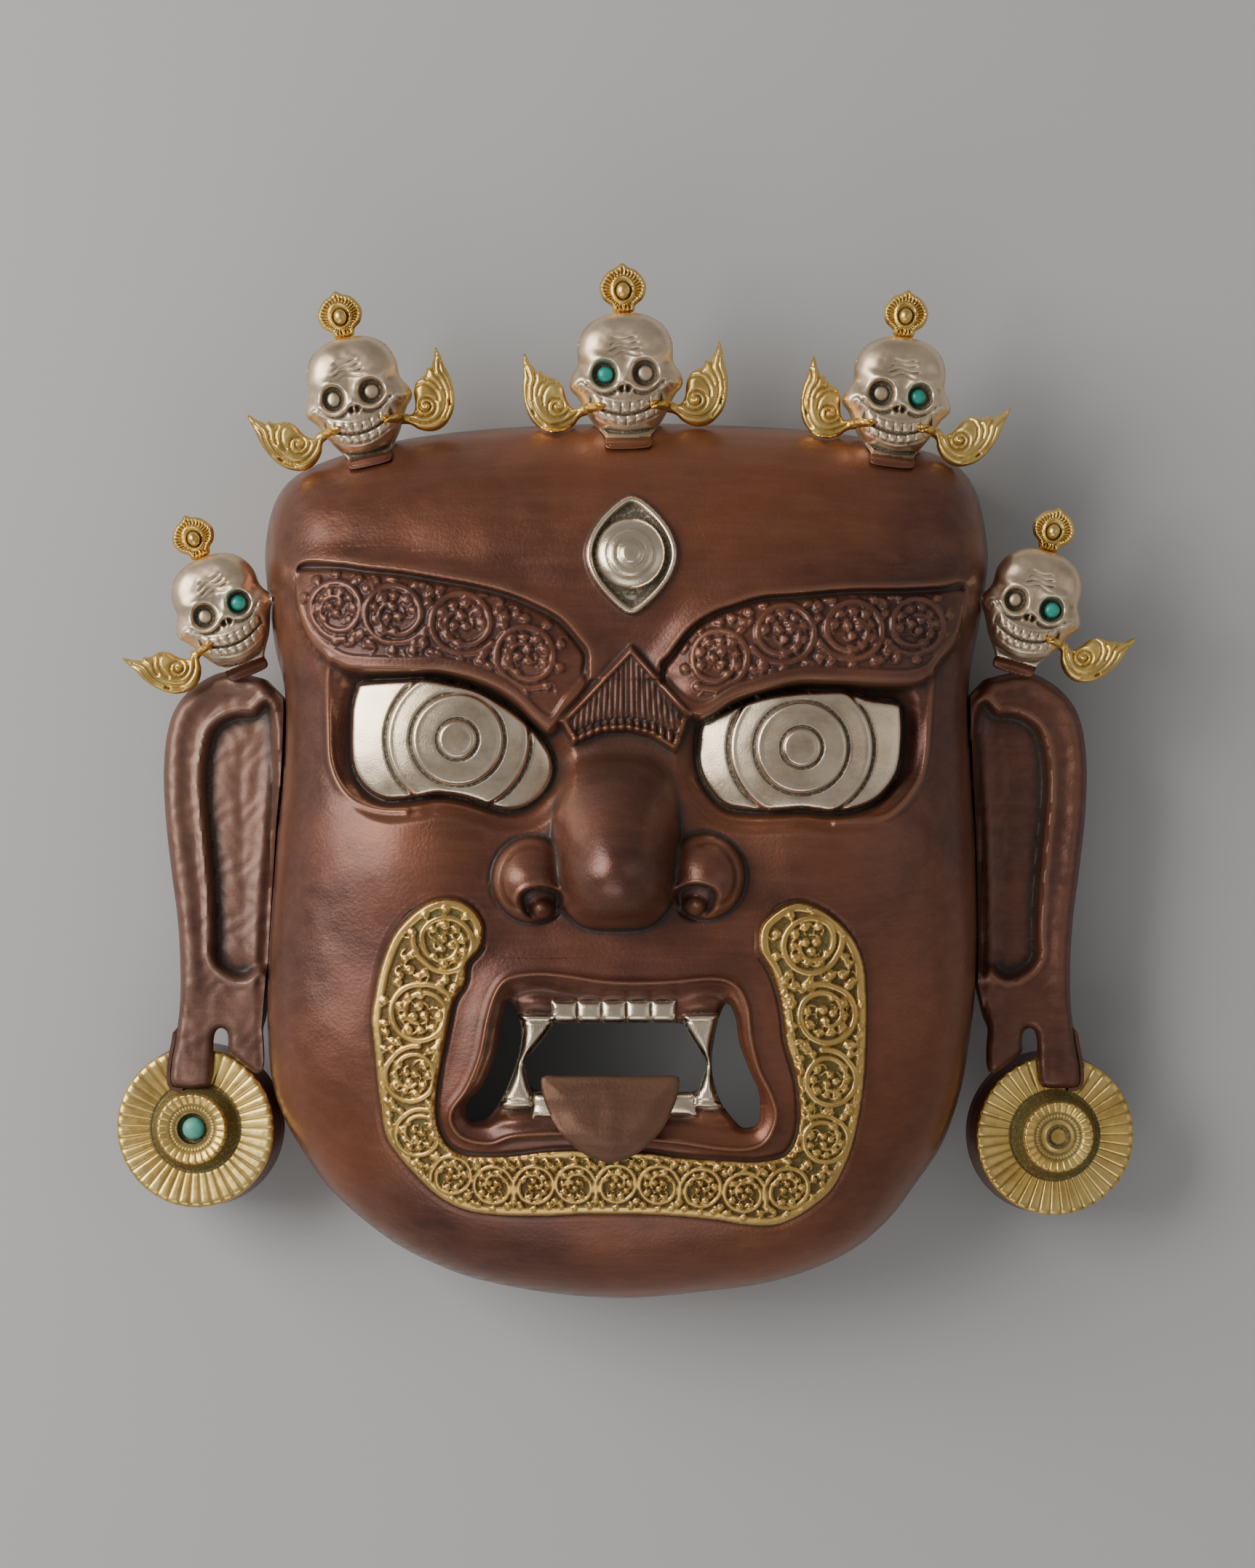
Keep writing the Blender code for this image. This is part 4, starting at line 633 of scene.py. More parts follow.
mouth = {
    "lip": [(-54.7, -105.7), (-50.1, -94.6), (-47.4, -81.4), (-44.6, -72.6), (-40.3, -67.6), (-31.4, -66.0),
            (-21.6, -66.5),
            (-4.9, -68.8), (14.0, -68.8), (30.7, -67.6), (38.3, -70.3), (42.0, -77.2), (43.3, -88.0), (46.1, -99.1),
            (50.4, -108.0), (52.2, -115.5), (49.4, -123.4), (43.8, -126.7), (34.0, -126.7), (19.6, -124.4),
            (10.7, -123.4), (-4.9, -122.1), (-20.6, -121.1), (-38.0, -122.1), (-46.8, -124.9), (-55.7, -123.4),
            (-60.0, -118.8), (-60.0, -113.3)],
    "gapLeft": [(-39.9, -76.0), (-37.7, -79.3), (-36.0, -85.9), (-37.2, -94.7), (-39.3, -101.3), (-42.0, -108.1),
                (-46.9, -115.7), (-50.2, -117.7), (-53.5, -117.5), (-55.3, -114.2), (-54.3, -110.7), (-49.2, -104.6),
                (-45.0, -94.7), (-43.0, -85.9), (-41.4, -77.3)],
    "gapRight": [(35.5, -76.5), (32.8, -80.6), (31.0, -88.1), (30.0, -97.0), (31.0, -104.6), (33.5, -111.4),
                 (38.3, -118.0),
                 (41.6, -120.3), (46.2, -118.5), (46.9, -112.4), (46.2, -106.9), (42.9, -99.3), (39.6, -90.4),
                 (38.3, -81.6)],
    "gapMiddle": [(-25.3, -84.4), (-24.6, -83.5), (-23.6, -83.3), (-20, -83.3), (-12, -83.3), (-4, -83.3), (4, -83.3),
                  (12, -83.3),
                  (17, -83.3), (19.3, -83.4), (20.3, -84.0), (21.0, -85.4), (22.6, -88.5), (25.4, -92.9),
                  (28.2, -97.6),
                  (26.6, -102.6), (25.2, -106.0), (24.4, -107.2), (22.5, -107.4), (18, -107.4), (8, -107.3),
                  (-4, -107.2), (-16, -107),
                  (-26, -106.8), (-30.5, -106.7), (-32.2, -106.2), (-33.0, -104.0), (-34.2, -100.5), (-35.1, -96.6),
                  (-31.4, -92.4),
                  (-28.2, -88.6), (-26.2, -86)],
    "upperTeeth": (-3.9, 21.3, -75.6, -83.4), "lowerTeeth": (-3.6, 28.4, -107.3, -115.2),
    "fangs": [[(-37.2, -79.7), (-34, -79.6), (-30, -79.7), (-26, -79.9), (-24.4, -80.3), (-24.2, -81.6),
               (-24.6, -83.6), (-26.8, -87.0),
               (-30.2, -91.6), (-34.4, -96.4), (-34.2, -99.5), (-33.2, -103.5), (-32.2, -107.5), (-31.8, -110.8),
               (-32.4, -112.6),
               (-35.5, -113.2), (-39.5, -113.4), (-42.8, -112.9), (-43.9, -111.6), (-42.8, -108.0), (-40.6, -103.5),
               (-38.4, -99.0),
               (-37.0, -95.0), (-36.2, -90.0), (-36.0, -85.0), (-37.2, -81.5)],
              [(20.4, -80.2), (22.5, -79.8), (26, -79.6), (30, -79.6), (32.6, -79.9), (32.8, -81.4), (31.9, -84.0),
               (31.0, -88),
               (30.3, -92), (29.9, -97), (30.6, -101.5), (31.8, -105.5), (33.6, -109.5), (34.8, -111.8),
               (34.0, -113.2), (31, -113.7),
               (27.4, -113.5), (24.8, -112.8), (24.0, -111), (24.3, -108.0), (26.0, -103.8), (28.3, -97.6),
               (25.6, -93.2),
               (22.8, -89.0), (20.8, -85.2), (20.1, -82.2)]],
    "fangRoots": [(-30.4, -79.9, 1), (-37.9, -112.5, -1), (26.4, -80.0, 1), (29.6, -112.6, -1)],
    "toothRise": 2.6, "fangRise": 3.6,
}
beard = {
    "outer": [(-65.3, -40.4), (-73.1, -44.9), (-80.2, -52.7), (-84.7, -63.6), (-86.7, -72.4), (-88.2, -82.2),
              (-87.2, -93.3),
              (-86.2, -104.1), (-85.2, -112.9), (-83.5, -123.0), (-79.7, -129.5), (-74.1, -136.1), (-66.6, -143.6),
              (-57.8, -148.7), (-46.7, -150.9), (-29.1, -151.2), (-15.0, -150.4), (-2.4, -150.4), (14.0, -150.9),
              (30.6, -152.5), (41.4, -154.5), (51.5, -155.0), (59.0, -152.5), (65.6, -148.2), (72.1, -142.6),
              (76.2, -135.1), (79.4, -126.3), (81.5, -116.2), (83.0, -105.4), (83.7, -93.3), (84.0, -82.2),
              (83.7, -72.4), (82.7, -62.6), (78.9, -53.8), (72.1, -46.7), (65.6, -42.7), (59.0, -41.2)],
    "inner": [(52.5, -43.9), (47.0, -49.5), (46.5, -58.0), (50.2, -64.8), (53.0, -72.4), (54.8, -81.2), (55.8, -90.0),
              (58.5, -98.8), (60.0, -106.4), (60.6, -116.2), (59.0, -125.0), (54.8, -130.0), (45.9, -131.6),
              (35.4, -131.1), (19.5, -130.0), (8.4, -128.3), (-3.7, -127.8), (-15.0, -127.3), (-27.1, -127.8),
              (-40.2, -129.5), (-54.5, -129.5), (-61.1, -126.8), (-64.3, -121.7), (-65.8, -115.2), (-65.3, -105.4),
              (-63.3, -94.3), (-61.1, -83.5), (-59.3, -75.7), (-55.5, -69.1), (-54.5, -62.6), (-50.0, -57.0),
              (-49.0, -49.5), (-52.2, -43.9), (-57.8, -40.4)],
}
# each roundel of the scroll work: middle, radius, turn in degrees and which way it winds
browRoundels = [
    (-100.8, 61.0, 10.2, 250, -1), (-80.4, 58.6, 11.2, 300, -1), (-56.8, 55.4, 11.6, 290, -1),
    (-34.6, 44.0, 11.2, 270, -1),
    (32.6, 43.2, 10.8, 270, 1), (55.4, 51.8, 11.2, 240, 1), (79.2, 53.0, 11.2, 235, 1), (101.8, 55.0, 10.4, 260, 1),
]
beardRoundels = [
    (-62.0, -55.8, 10.6, 200, 1), (-71.4, -79.6, 11.0, 60, 1), (-74.6, -101.8, 9.8, 110, 1),
    (-72.4, -122.2, 8.6, 100, 1),
    (-60.4, -136.6, 7.6, 180, -1), (-46.0, -140.0, 7.5, 0, 1), (-31.6, -139.8, 7.5, 180, -1),
    (-17.4, -139.4, 7.5, 0, 1),
    (-3.0, -139.2, 7.5, 180, -1), (11.6, -139.6, 7.6, 0, 1), (26.4, -140.8, 7.7, 180, -1), (41.4, -142.6, 7.9, 0, 1),
    (56.6, -141.4, 8.2, 180, -1), (64.2, -56.2, 10.8, 0, -1), (70.0, -80.4, 11.0, 100, -1),
    (71.4, -103.2, 9.8, 70, -1),
    (69.8, -124.4, 8.8, 90, -1),
]

faceLoop = curveThrough(face["outline"], 2.5)
browLoops = [curveThrough(shape, 1.5) for shape in browShapes]
browTopLines = [curveThrough(line, 2.0, closed=False) for line in browTops]
eyeLoops = [curveThrough(shape, 1.5) for shape in eyeShapes]
foldLines = [curveThrough(line, 2.0, closed=False) for line in socketFolds]
thirdLoop = curveThrough([(thirdEye["centre"][0] + x, thirdEye["centre"][1] + y) for x,
                          y in bothSides(thirdEye["half"])], 1.2)
plateLoop = np.array(bridgePlate["shape"], float)
lipLoop = curveThrough(mouth["lip"], 1.5)
fangLoops = [curveThrough(shape, 0.8) for shape in mouth["fangs"]]
gapLoops = [curveThrough(mouth[key], 1.0) for key in ("gapLeft", "gapRight")] + [curveThrough(mouth["gapMiddle"],
    1.2)]
beardLoop = curveThrough(beard["outer"] + beard["inner"], 1.6)


def stampVine(relief, x, y, line, halfWidths, rise):
    away = np.hypot(x[:, None] - line[:, 0], y[:, None] - line[:, 1]) / halfWidths
    return np.maximum(relief, rise * roundOff(away.min(1) ** 3))


def stampBud(relief, x, y, place, radius, heading, winding):
    # a round bud with a curled line on it and a tail that sweeps away, as a chaser's tools leave it
    near = np.hypot(x - place[0], y - place[1]) < 2.6 * radius
    if near.any():
        dx, dy = x[near] - place[0], y[near] - place[1]
        away = np.hypot(dx, dy) / radius
        turn = np.mod((np.arctan2(dy, dx) - heading) * winding, 2 * math.pi) / (2 * math.pi)
        bud = 1.8 * roundOff(away**2) ** 0.8 - 0.55 * bell(away - 0.25 - 0.45 * turn, 0.14) * (away < 0.85)
        swing = np.linspace(0, 1.8, 12)
        tail = np.column_stack([place[0] + radius * (0.5 + 0.9 * swing) * np.cos(heading + winding * swing),
                                place[1] + radius * (0.5 + 0.9 * swing) * np.sin(heading + winding * swing)])
        relief[near] = np.maximum(stampVine(relief[near], x[near], y[near], tail, radius * (0.42 - 0.16 * swing),
                                            1.0), bud)
    return relief


def stampRoundel(relief, x, y, roundel):
    # a broad vine loops round and winds inwards, with buds on both sides of it
    middleX, middleY, radius, turn, winding = roundel
    near = np.hypot(x - middleX, y - middleY) < 1.3 * radius
    if not near.any():
        return relief
    px, py = x[near], y[near]
    part = relief[near]
    start = math.radians(turn)
    share = np.linspace(0, 1, 150)
    sweep = start + winding * (share * 1.66 - 0.1) * 2 * math.pi
    reach = radius * np.interp(share, [0, 0.10, 0.58, 0.78, 1.0], [1.12, 0.90, 0.86, 0.50, 0.33])
    half = radius * np.interp(share, [0, 0.6, 1], [0.125, 0.115, 0.08])
    vine = np.column_stack([middleX + reach * np.cos(sweep), middleY + reach * np.sin(sweep)])
    part = stampVine(part, px, py, vine, half, 1.25)
    wobble = np.sin(np.arange(12) * 2.7 + turn)
    for k in range(8):
        angle = start + winding * (0.45 + k * 0.66)
        far = radius * (0.60 + 0.04 * wobble[k])
        if k > 5:
            far = radius * 0.65
        spot = (middleX + far * math.cos(angle), middleY + far * math.sin(angle))
        part = stampBud(part, px, py, spot, radius * (0.165 + 0.02 * wobble[k + 2]), angle + 0.8 * winding, winding)
    for k in range(3):
        angle = start + k * 2.15 + 0.5
        spot = (middleX + radius * 0.20 * math.cos(angle), middleY + radius * 0.20 * math.sin(angle))
        part = stampBud(part, px, py, spot, radius * 0.155, angle, -winding)
    relief[near] = part
    return relief


def scrollWork(x, y, roundels):
    relief = np.zeros(len(x))
    for roundel in roundels:
        relief = stampRoundel(relief, x, y, roundel)
    # pairs of buds fill the corners between neighbouring roundels, and small ones stand off the ends
    for i, first in enumerate(roundels):
        for second in roundels[i + 1:]:
            gapX, gapY = second[0] - first[0], second[1] - first[1]
            apart = math.hypot(gapX, gapY)
            if apart < 1.35 * (first[2] + second[2]):
                size = min(first[2], second[2])
                for side in (-1, 1):
                    for out, along, share in ((0.80, 0.0, 0.19), (1.04, 0.30, 0.155), (1.06, -0.28, 0.155)):
                        spot = ((first[0] + second[0]) / 2 + (-gapY * side * out + gapX * along) / apart * size,
                                (first[1] + second[1]) / 2 + (gapX * side * out + gapY * along) / apart * size)
                        relief = stampBud(relief, x, y, spot, size * share, math.atan2(gapY, gapX) + side * 1.2, side)
        for k in range(10):
            angle = k * math.pi / 5 + 0.3
            spot = (first[0] + 1.16 * first[2] * math.cos(angle), first[1] + 1.16 * first[2] * math.sin(angle))
            if all(math.hypot(spot[0] - other[0], spot[1] - other[1]) > 1.12 * other[2] for other in roundels):
                relief = stampBud(relief, x, y, spot, first[2] * 0.16, angle + 2.2, 1 if k % 2 else -1)
    return relief


def shareOfFace(x, y):
    away = faceLoop - face["centre"]
    angles = np.arctan2(away[:, 1], away[:, 0])
    order = np.argsort(angles)
    dx, dy = x - face["centre"][0], y - face["centre"][1]
    edge = np.interp(np.arctan2(dy, dx), angles[order], np.hypot(*away[order].T), period=2 * math.pi)
    return np.hypot(dx, dy) / edge


def teethRise(x, y, row):
    middle, half, top, bottom = row
    pitch = 2 * half / 5
    place = (x - middle + half) / pitch
    across = 2 * np.abs(place - np.floor(place) - 0.5)
    upright = 2 * np.abs(y - (top + bottom) / 2) / abs(top - bottom)
    inRow = (np.abs(x - middle) < half) & (upright < 1)
    return np.where(inRow, roundOff(across**3.4) ** 0.8 * roundOff(upright**3.6) ** 0.8, 0.0)


nose = {
    "middle": -3.1, "wings": [(-1, -32.0, -33.4), (1, 27.4, -32.4)], "wingRadii": (14.2, 15.0),
    # level, rise, half width, and how squarely the section stands
    "levels": [(-60, 0.0, 9, 0.6), (-54, 0.0, 9, 0.6), (-51.0, 0.06, 10, 0.6), (-49.0, 0.30, 13, 0.6),
               (-46, 0.56, 16.2, 0.6), (-42, 0.79, 19, 0.62),
               (-36, 0.95, 21.2, 0.68), (-29.5, 1.0, 22.4, 0.76), (-22, 0.94, 22.6, 0.9), (-14, 0.79, 22.4, 1.1),
               (-6, 0.59, 22.4, 1.3),
               (0, 0.41, 22.0, 1.4), (6, 0.20, 20.5, 1.5), (10, 0.07, 18.0, 1.5), (14, 0, 15, 1.5)],
}
noseLevels = curveThrough(nose["levels"], 0.5, closed=False)


def noseRise(x, y):
    rise = np.interp(y, noseLevels[:, 0], noseLevels[:, 1]) * face["noseRise"]
    half = np.interp(y, noseLevels[:, 0], noseLevels[:, 2])
    square = np.interp(y, noseLevels[:, 0], noseLevels[:, 3])
    share = np.abs(x - nose["middle"]) / half
    body = rise * (0.80 * np.clip(1 - share**2, 0, 1) ** square + 0.20 * np.clip(1 - (share / 1.4) ** 2, 0, 1) ** 1.6)
    wings = np.zeros(len(x))
    for side, middleX, middleY in nose["wings"]:
        away = np.hypot((x - middleX) / nose["wingRadii"][0], (y - middleY) / nose["wingRadii"][1])
        wings = np.maximum(wings, face["wingRise"] * (0.82 * np.clip(1 - away**2, 0, 1) ** 0.62 + 0.18
                                                      * np.clip(1 - (away / 1.25) ** 2, 0, 1) ** 1.5))
    whole = blendUp(body, wings, 2.4)
    whole = whole - 2.4 * math.log(2) * ease(6.0, 0.5, np.maximum(body, wings))
    for side, middleX, middleY in nose["wings"]:
        away = np.hypot((x - middleX) / nose["wingRadii"][0], (y - middleY) / nose["wingRadii"][1])
        outer = ease(-3, 3, side * (x - middleX) + 2) * ease(-14, -10, y - middleY - 2)
        whole = whole - 0.9 * bell(away - 0.76, 0.06) * outer - 0.4 * bell(away - 1.04, 0.06) * outer
        holeX, holeY = middleX - side * 3.0, middleY - 6.6
        arch = np.hypot((x - holeX) / 7.4, (y - holeY) / np.where(y > holeY, 4.6, 8.0))
        bud = np.hypot(x - holeX + side * 0.6, y - holeY + 4.6)
        whole = whole + 1.0 * bell(arch - 1.14, 0.12) * ease(-3, 0, y - holeY)
        whole = whole - (6.5 * ease(1.05, 0.7, arch) + 1.5 * bell(arch - 0.9, 0.15)) * ease(0.8, 5.8, bud)
        whole = whole - 1.6 * bump(x, y, (holeX - side * 0.6, holeY - 4.6), (4.5, 4.5))
    return whole


def faceHeight(x, y, fineRelief=True):
    share = shareOfFace(x, y)
    inner = ease(1.0, 0.86, share)
    swell = 6 * bump(x, y, (0, 85), (95, 40)) + face["muzzleRise"] * bump(x, y, (-5.2, -97), (68, 46))
    for side in (-1, 1):
        swell = swell + 7 * bump(x, y, (side * 74, -24), (34, 32))
    z = face["sideWall"] + face["domeRise"] * roundOff(share**4) + inner * swell

    # brows: the forehead folds over their top edge and a plain ledge runs along the foot
    brow = np.full(len(x), -farAway)
    ledge = np.full(len(x), -farAway)
    fromTop = np.full(len(x), farAway)
    for loop, top in zip(browLoops, browTopLines):
        brow = np.maximum(brow, depthIn(x, y, loop))
        for drop in (0.0, 0.5, 1.0):
            ledge = np.maximum(ledge, depthIn(x, y + drop * face["ledge"], loop, 12))
        near = (np.abs(y - 55) < 42) & (np.sign(x) == np.sign(top[5, 0]))
        if near.any():
            fromTop[near] = np.minimum(fromTop[near], closestOn(x[near], y[near], top, False)[0])
    eyes = [depthIn(x, y, loop) for loop in eyeLoops]
    for depth in eyes:
        z = z - 7.5 * ease(-9, 0, depth) * ease(2, -2, ledge)
    outside = ease(0.6, -0.6, ledge)
    z = z + inner * (face["browRise"] * ease(-1.6, 1.8, ledge) * (0.25 + 0.75 * ease(0, 13, fromTop)) + 2.4
                     * bell(fromTop, 5.5) * outside * (y > 36))
    z = z - 1.3 * bell(fromTop - 1.2, 1.1) * (1 - outside) - inner * 1.0 * ease(0.2, 1.4, brow)
    for depth, centre, fold in zip(eyes, eye["centres"], foldLines):
        away = np.hypot(x - centre[0], y - centre[1])
        ball = eye["level"] + eye["bulge"] * (1 - (away / 42) ** 2)
        for radius in eye["rings"]:
            ball = ball + eye["step"] * ease(radius + 0.5, radius - 0.5, away) + 0.25 * bell(away - radius + 1.0, 0.7)
            ball = ball - 0.75 * bell(away - radius - 0.8, 0.5)
        z = z + (ball - z) * ease(-0.7, 0.7, depth) - 1.1 * bell(depth + 0.1, 0.8)
        near, _ = closestOn(x, y, fold, False)
        z = z + 1.8 * bell(near, 1.5) * ease(-1, -3, depth) * ease(3, -1, ledge)
        z = z + 1.3 * bell(depth + 3.2, 1.6) * ease(4, -3, y) * ease(-1, -2.4, depth)

    depth = depthIn(x, y, thirdLoop)
    away = np.hypot((x - 1.9) * 1.04, y - 79.5)
    z = z + 2.6 * ease(-0.7, 0.7, depth) - 2.8 * ease(1.4, 3.0, depth)
    third = 5.6 * roundOff((away / thirdEye["ball"]) ** 2) ** 0.7
    for radius in thirdEye["rings"]:
        third = third + 0.35 * ease(radius + 0.3, radius - 0.3, away) - 0.4 * bell(away - radius - 0.5, 0.35)
    z = z + third * ease(1.0, 2.6, depth)

    depth = depthIn(x, y, plateLoop)
    fan = (x - 0.6) / (1 + (y - 18) * -0.006)
    arcY = 18.4 - ((x - 0.3) / 19.0) ** 2 * 5.6
    z = z + 4.2 * ease(-1.2, 1.0, depth) - 1.6 * ease(1.5, 2.2, depth) * (y > 12)
    if fineRelief:
        ridge = np.clip(1 - (2 * np.abs(np.mod(fan / bridgePlate["pitch"], 1) - 0.5)) ** 2, 0, 1)
        z = z + 1.5 * ease(2.0, 2.6, depth) * (1 - ridge) ** 1.5 * ease(3.8, 4.8, y - arcY)
    beadRow = np.abs((x - 0.3) / 2.75 - np.floor((x - 0.3) / 2.75) - 0.5) * 2.75
    z = z - 1.2 * bell(y - arcY - 2.4, 2.2) * (np.abs(x - 0.3) < 19.6) * ease(0, 1, depth)
    z = z + 2.0 * roundOff((beadRow / 1.2) ** 2 + ((y - arcY - 1.7) / 2.3) ** 2) * (np.abs(x - 0.3) < 19.2)
    z = z + noseRise(x, y)

    # mouth: a thin raised line round the lip, a band that leans in, mounds of gum over the fangs
    depth = depthIn(x, y, lipLoop)
    z = z + 1.5 * bell(np.minimum(depth + 1.5, 0), 6) + 1.3 * bell(depth, 0.7)
    z = z - face["lipSink"] * ease(-0.4, 8, depth) + 1.0 * ease(-3, 0, depth)
    z = z + 1.6 * bell(depth - 5.5, 2.2) * (y < -112)
    for rootX, rootY, lean in mouth["fangRoots"]:
        z = z + 2.4 * bump(x, y, (rootX, rootY + lean * 4.2), (6.8, 3.4))
    for row, out in ((mouth["upperTeeth"], 1), (mouth["lowerTeeth"], -1)):
        edge = row[2] if out > 0 else row[3]
        scallop = 2 * np.abs(np.mod((x - row[0] + row[1]) / (2 * row[1] / 5), 1) - 0.5)
        z = z + 0.8 * bell(y - edge - out * (0.9 - 0.9 * scallop**2), 0.7) * (np.abs(x - row[0]) < row[1])
    for loop in gapLoops:
        z = z - 1.6 * bell(depthIn(x, y, loop, 12), 1.5)
    z = z + mouth["toothRise"] * (teethRise(x, y, mouth["upperTeeth"]) + teethRise(x, y, mouth["lowerTeeth"]))
    for loop, middle in zip(fangLoops, (-34.5, 27.0)):
        depth = depthIn(x, y, loop, 12)
        fromRoot = np.minimum(np.abs(y + 80.0), np.abs(y + 112.6))
        cone = mouth["fangRise"] * np.sqrt(1 - (1 - np.clip(depth / 4.6, 0, 1)) ** 2)
        cone = cone + 0.6 * bell(fromRoot - 1.0, 0.8) - 0.5 * bell(fromRoot - 2.5, 0.4)
        if fineRelief:
            cone = cone + 0.28 * np.cos((x - middle) * 6.3) * ease(3.0, 3.6, fromRoot) * ease(7.5, 5.5, fromRoot)
        z = np.where(depth > 0, z + cone, z)

    depth = depthIn(x, y, beardLoop)
    z = z + face["beardRise"] * ease(-0.8, 1.0, depth) - 0.6 * bell(depth + 0.9, 0.7)
    if fineRelief:
        panel = (brow > 0.8) & (fromTop > 1.5)
        if panel.any():
            scroll = 1.05 * scrollWork(x[panel], y[panel], browRoundels)
            z[panel] += scroll * ease(0.8, 1.8, brow[panel]) * ease(1.5, 3.2, fromTop[panel])
        panel = depth > 0.6
        if panel.any():
            border = ease(3.8, 2.8, depth[panel]) * ease(-12, -15, depthIn(x[panel], y[panel], lipLoop))
            scroll = 1.05 * scrollWork(x[panel], y[panel], beardRoundels) * ease(0.6, 1.6, depth[panel])
            z[panel] += np.maximum(scroll, 1.0 * border) - 0.5
    return z


def inSilver(x, y):
    found = np.maximum(depthIn(x, y, eyeLoops[0]), depthIn(x, y, eyeLoops[1])) > 0
    found |= depthIn(x, y, thirdLoop) > 0
    found |= (teethRise(x, y, mouth["upperTeeth"]) + teethRise(x, y, mouth["lowerTeeth"])) > 0.05
    for loop in fangLoops:
        found |= depthIn(x, y, loop, 12) > 0
    return found


def paintFace(centres, normals):
    x, y = centres[:, 0], centres[:, 1]
    return np.where(depthIn(x, y, beardLoop) > 0, 1, np.where(inSilver(x, y), 2, 0))


def darkPlateAndItsShadow(x, y):
    # a painted shadow that the plate casts on the root of the nose, and the plate itself darker all over
    return 0.62 * bump(x, y, (-2, 1), (24, 13)) + 0.30 * ease(-1, 1.5, depthIn(x, y, plateLoop))


upperLoop = curveThrough(face["upperRegion"], 2.0)
lowerLoop = curveThrough(face["lowerRegion"], 2.0)


def baseHeight(x, y):
    # the sheet runs under the finely worked parts
    inBoth = np.maximum(depthIn(x, y, upperLoop), depthIn(x, y, lowerLoop))
    onSeam = (np.abs(x + 1) < 44) & (np.abs(y + 60) < 9)
    inBoth = np.where(onSeam, 9.0, inBoth)
    depth = depthIn(x, y, beardLoop)
    plain = faceHeight(x, y, False) - face["beardRise"] * ease(-0.8, 1.0, depth) + 0.6 * bell(depth + 0.9, 0.7)
    return plain - face["sink"] * ease(4.0, 6.5, inBoth)


baseHoles = [loop + outOf(loop) * 0.6 for loop in gapLoops]
faceBase = pressSheet("faceSheet", faceLoop, baseHeight, face["plain"], holes=baseHoles, wall=lambda x, y: x * 0.0,
                      wallSteps=6, thickness=face["sheet"])
finishPiece(faceBase, [copper], ["face_shell"], sharp=50)
print("face sheet:", len(faceBase.data.polygons), "faces")
metalSeams = eyeLoops + fangLoops + [thirdLoop, beardLoop]
for name, loop, spacing, holes in (("browAndEyeRelief", upperLoop, face["relief"], ()),
                                   ("mouthAndBeardRelief", lowerLoop, face["lowerRelief"], gapLoops)):
    relief = pressSheet(name, loop, lambda x, y: faceHeight(x, y) + face["lift"] - face["dip"]
                        * ease(2.4, 0, depthIn(x, y, loop)), spacing,
                        holes=holes, holeDrop=2.6, seams=metalSeams, grimeAndShade=darkPlateAndItsShadow)
    finishPiece(relief, [copper, beardGilt, eyeSilver], ["face_shell"], paint=paintFace)
    print(name + ":", len(relief.data.polygons), "faces")


# the ears

ear = {
    "front": 45.0, "back": 27.0, "sweep": 6.0, "top": 32.0, "foot": -72.0, "recess": 5.5, "sheet": 1.3,
    "lobeOverDisc": -90.0, "lobeBack": 38.6, "spacing": 0.9, "sweepFrom": 123,
    "nodes": {-1: "ear_left", 1: "ear_right"},
    "outer": [(130, 37.5), (143, 40), (153, 36), (160.4, 29), (164.3, 20), (166, 6), (165.4, -12), (163.2, -32),
              (161, -49), (160, -66), (160.2, -80), (161.8, -92), (163.4, -101), (163.6, -107.2), (161.8, -109.6),
              (151.0, -109.6), (148.8, -107.0), (148.2, -98), (147.8, -91), (146.2, -88.2), (143.6, -88.6),
              (142.7, -91.5),
              (142.6, -96.5), (140.6, -98.6), (136.0, -102.2), (131.8, -104.6), (130.0, -102.0), (129.8, -96),
              (130.4, -88)],
    "hollow": [(126, 22), (134, 24.5), (141, 24), (147.5, 20), (150.4, 12), (151.6, 0), (150.4, -16), (148.8, -34),
               (147.8, -52),
               (148, -62), (144, -67.5), (137, -70), (131, -66), (127, -60)],
}


def earOutline(side):
    beside = faceLoop + outOf(faceLoop) * 0.6
    beside = beside[(beside[:, 0] * side > 0) & (beside[:, 1] < ear["top"]) & (beside[:, 1] > ear["foot"])]
    beside = beside[np.argsort(beside[:, 1])]
    outer = curveThrough(mirrored(ear["outer"], side), 1.6, closed=False)
    return np.concatenate([outer, beside])


earLoops = {side: earOutline(side) for side in (-1, 1)}


def earHeight(x, y, side):
    depth = depthIn(x, y, earLoops[side])
    fromFace = -depthIn(x, y, faceLoop)
    level = ear["front"] - math.tan(math.radians(ear["sweep"])) * (side * x - ear["sweepFrom"])
    level = np.maximum(level, np.where(y < ear["lobeOverDisc"], ear["lobeBack"] + 2.6, 0))
    hollow = depthIn(x, y, curveThrough(mirrored(ear["hollow"], side), 2.0))
    openRim = ease(1.5, 5.0, fromFace)
    z = level - 2.6 * (1 - np.clip(depth / 2.6, 0, 1)) ** 2 * openRim + 1.5 * bell(depth - 4.2,
        3.0) * openRim * ease(-84, -70, y)
    z = z - ear["recess"] * ease(-1.6, 1.8, hollow) + 0.9 * bell(hollow + 2.0, 1.3) + 0.8 * bell(hollow - 9,
        5) * ease(0, 4, hollow)
    z = z - 0.5 * ease(1.5, 5, np.abs(side * x - 156.0)) * ease(-84, -96, y)
    return z + 0.16 * np.sin(x * 0.83 + np.sin(y * 0.31) * 2) * np.sin(y * 0.57 + np.sin(x * 0.4))


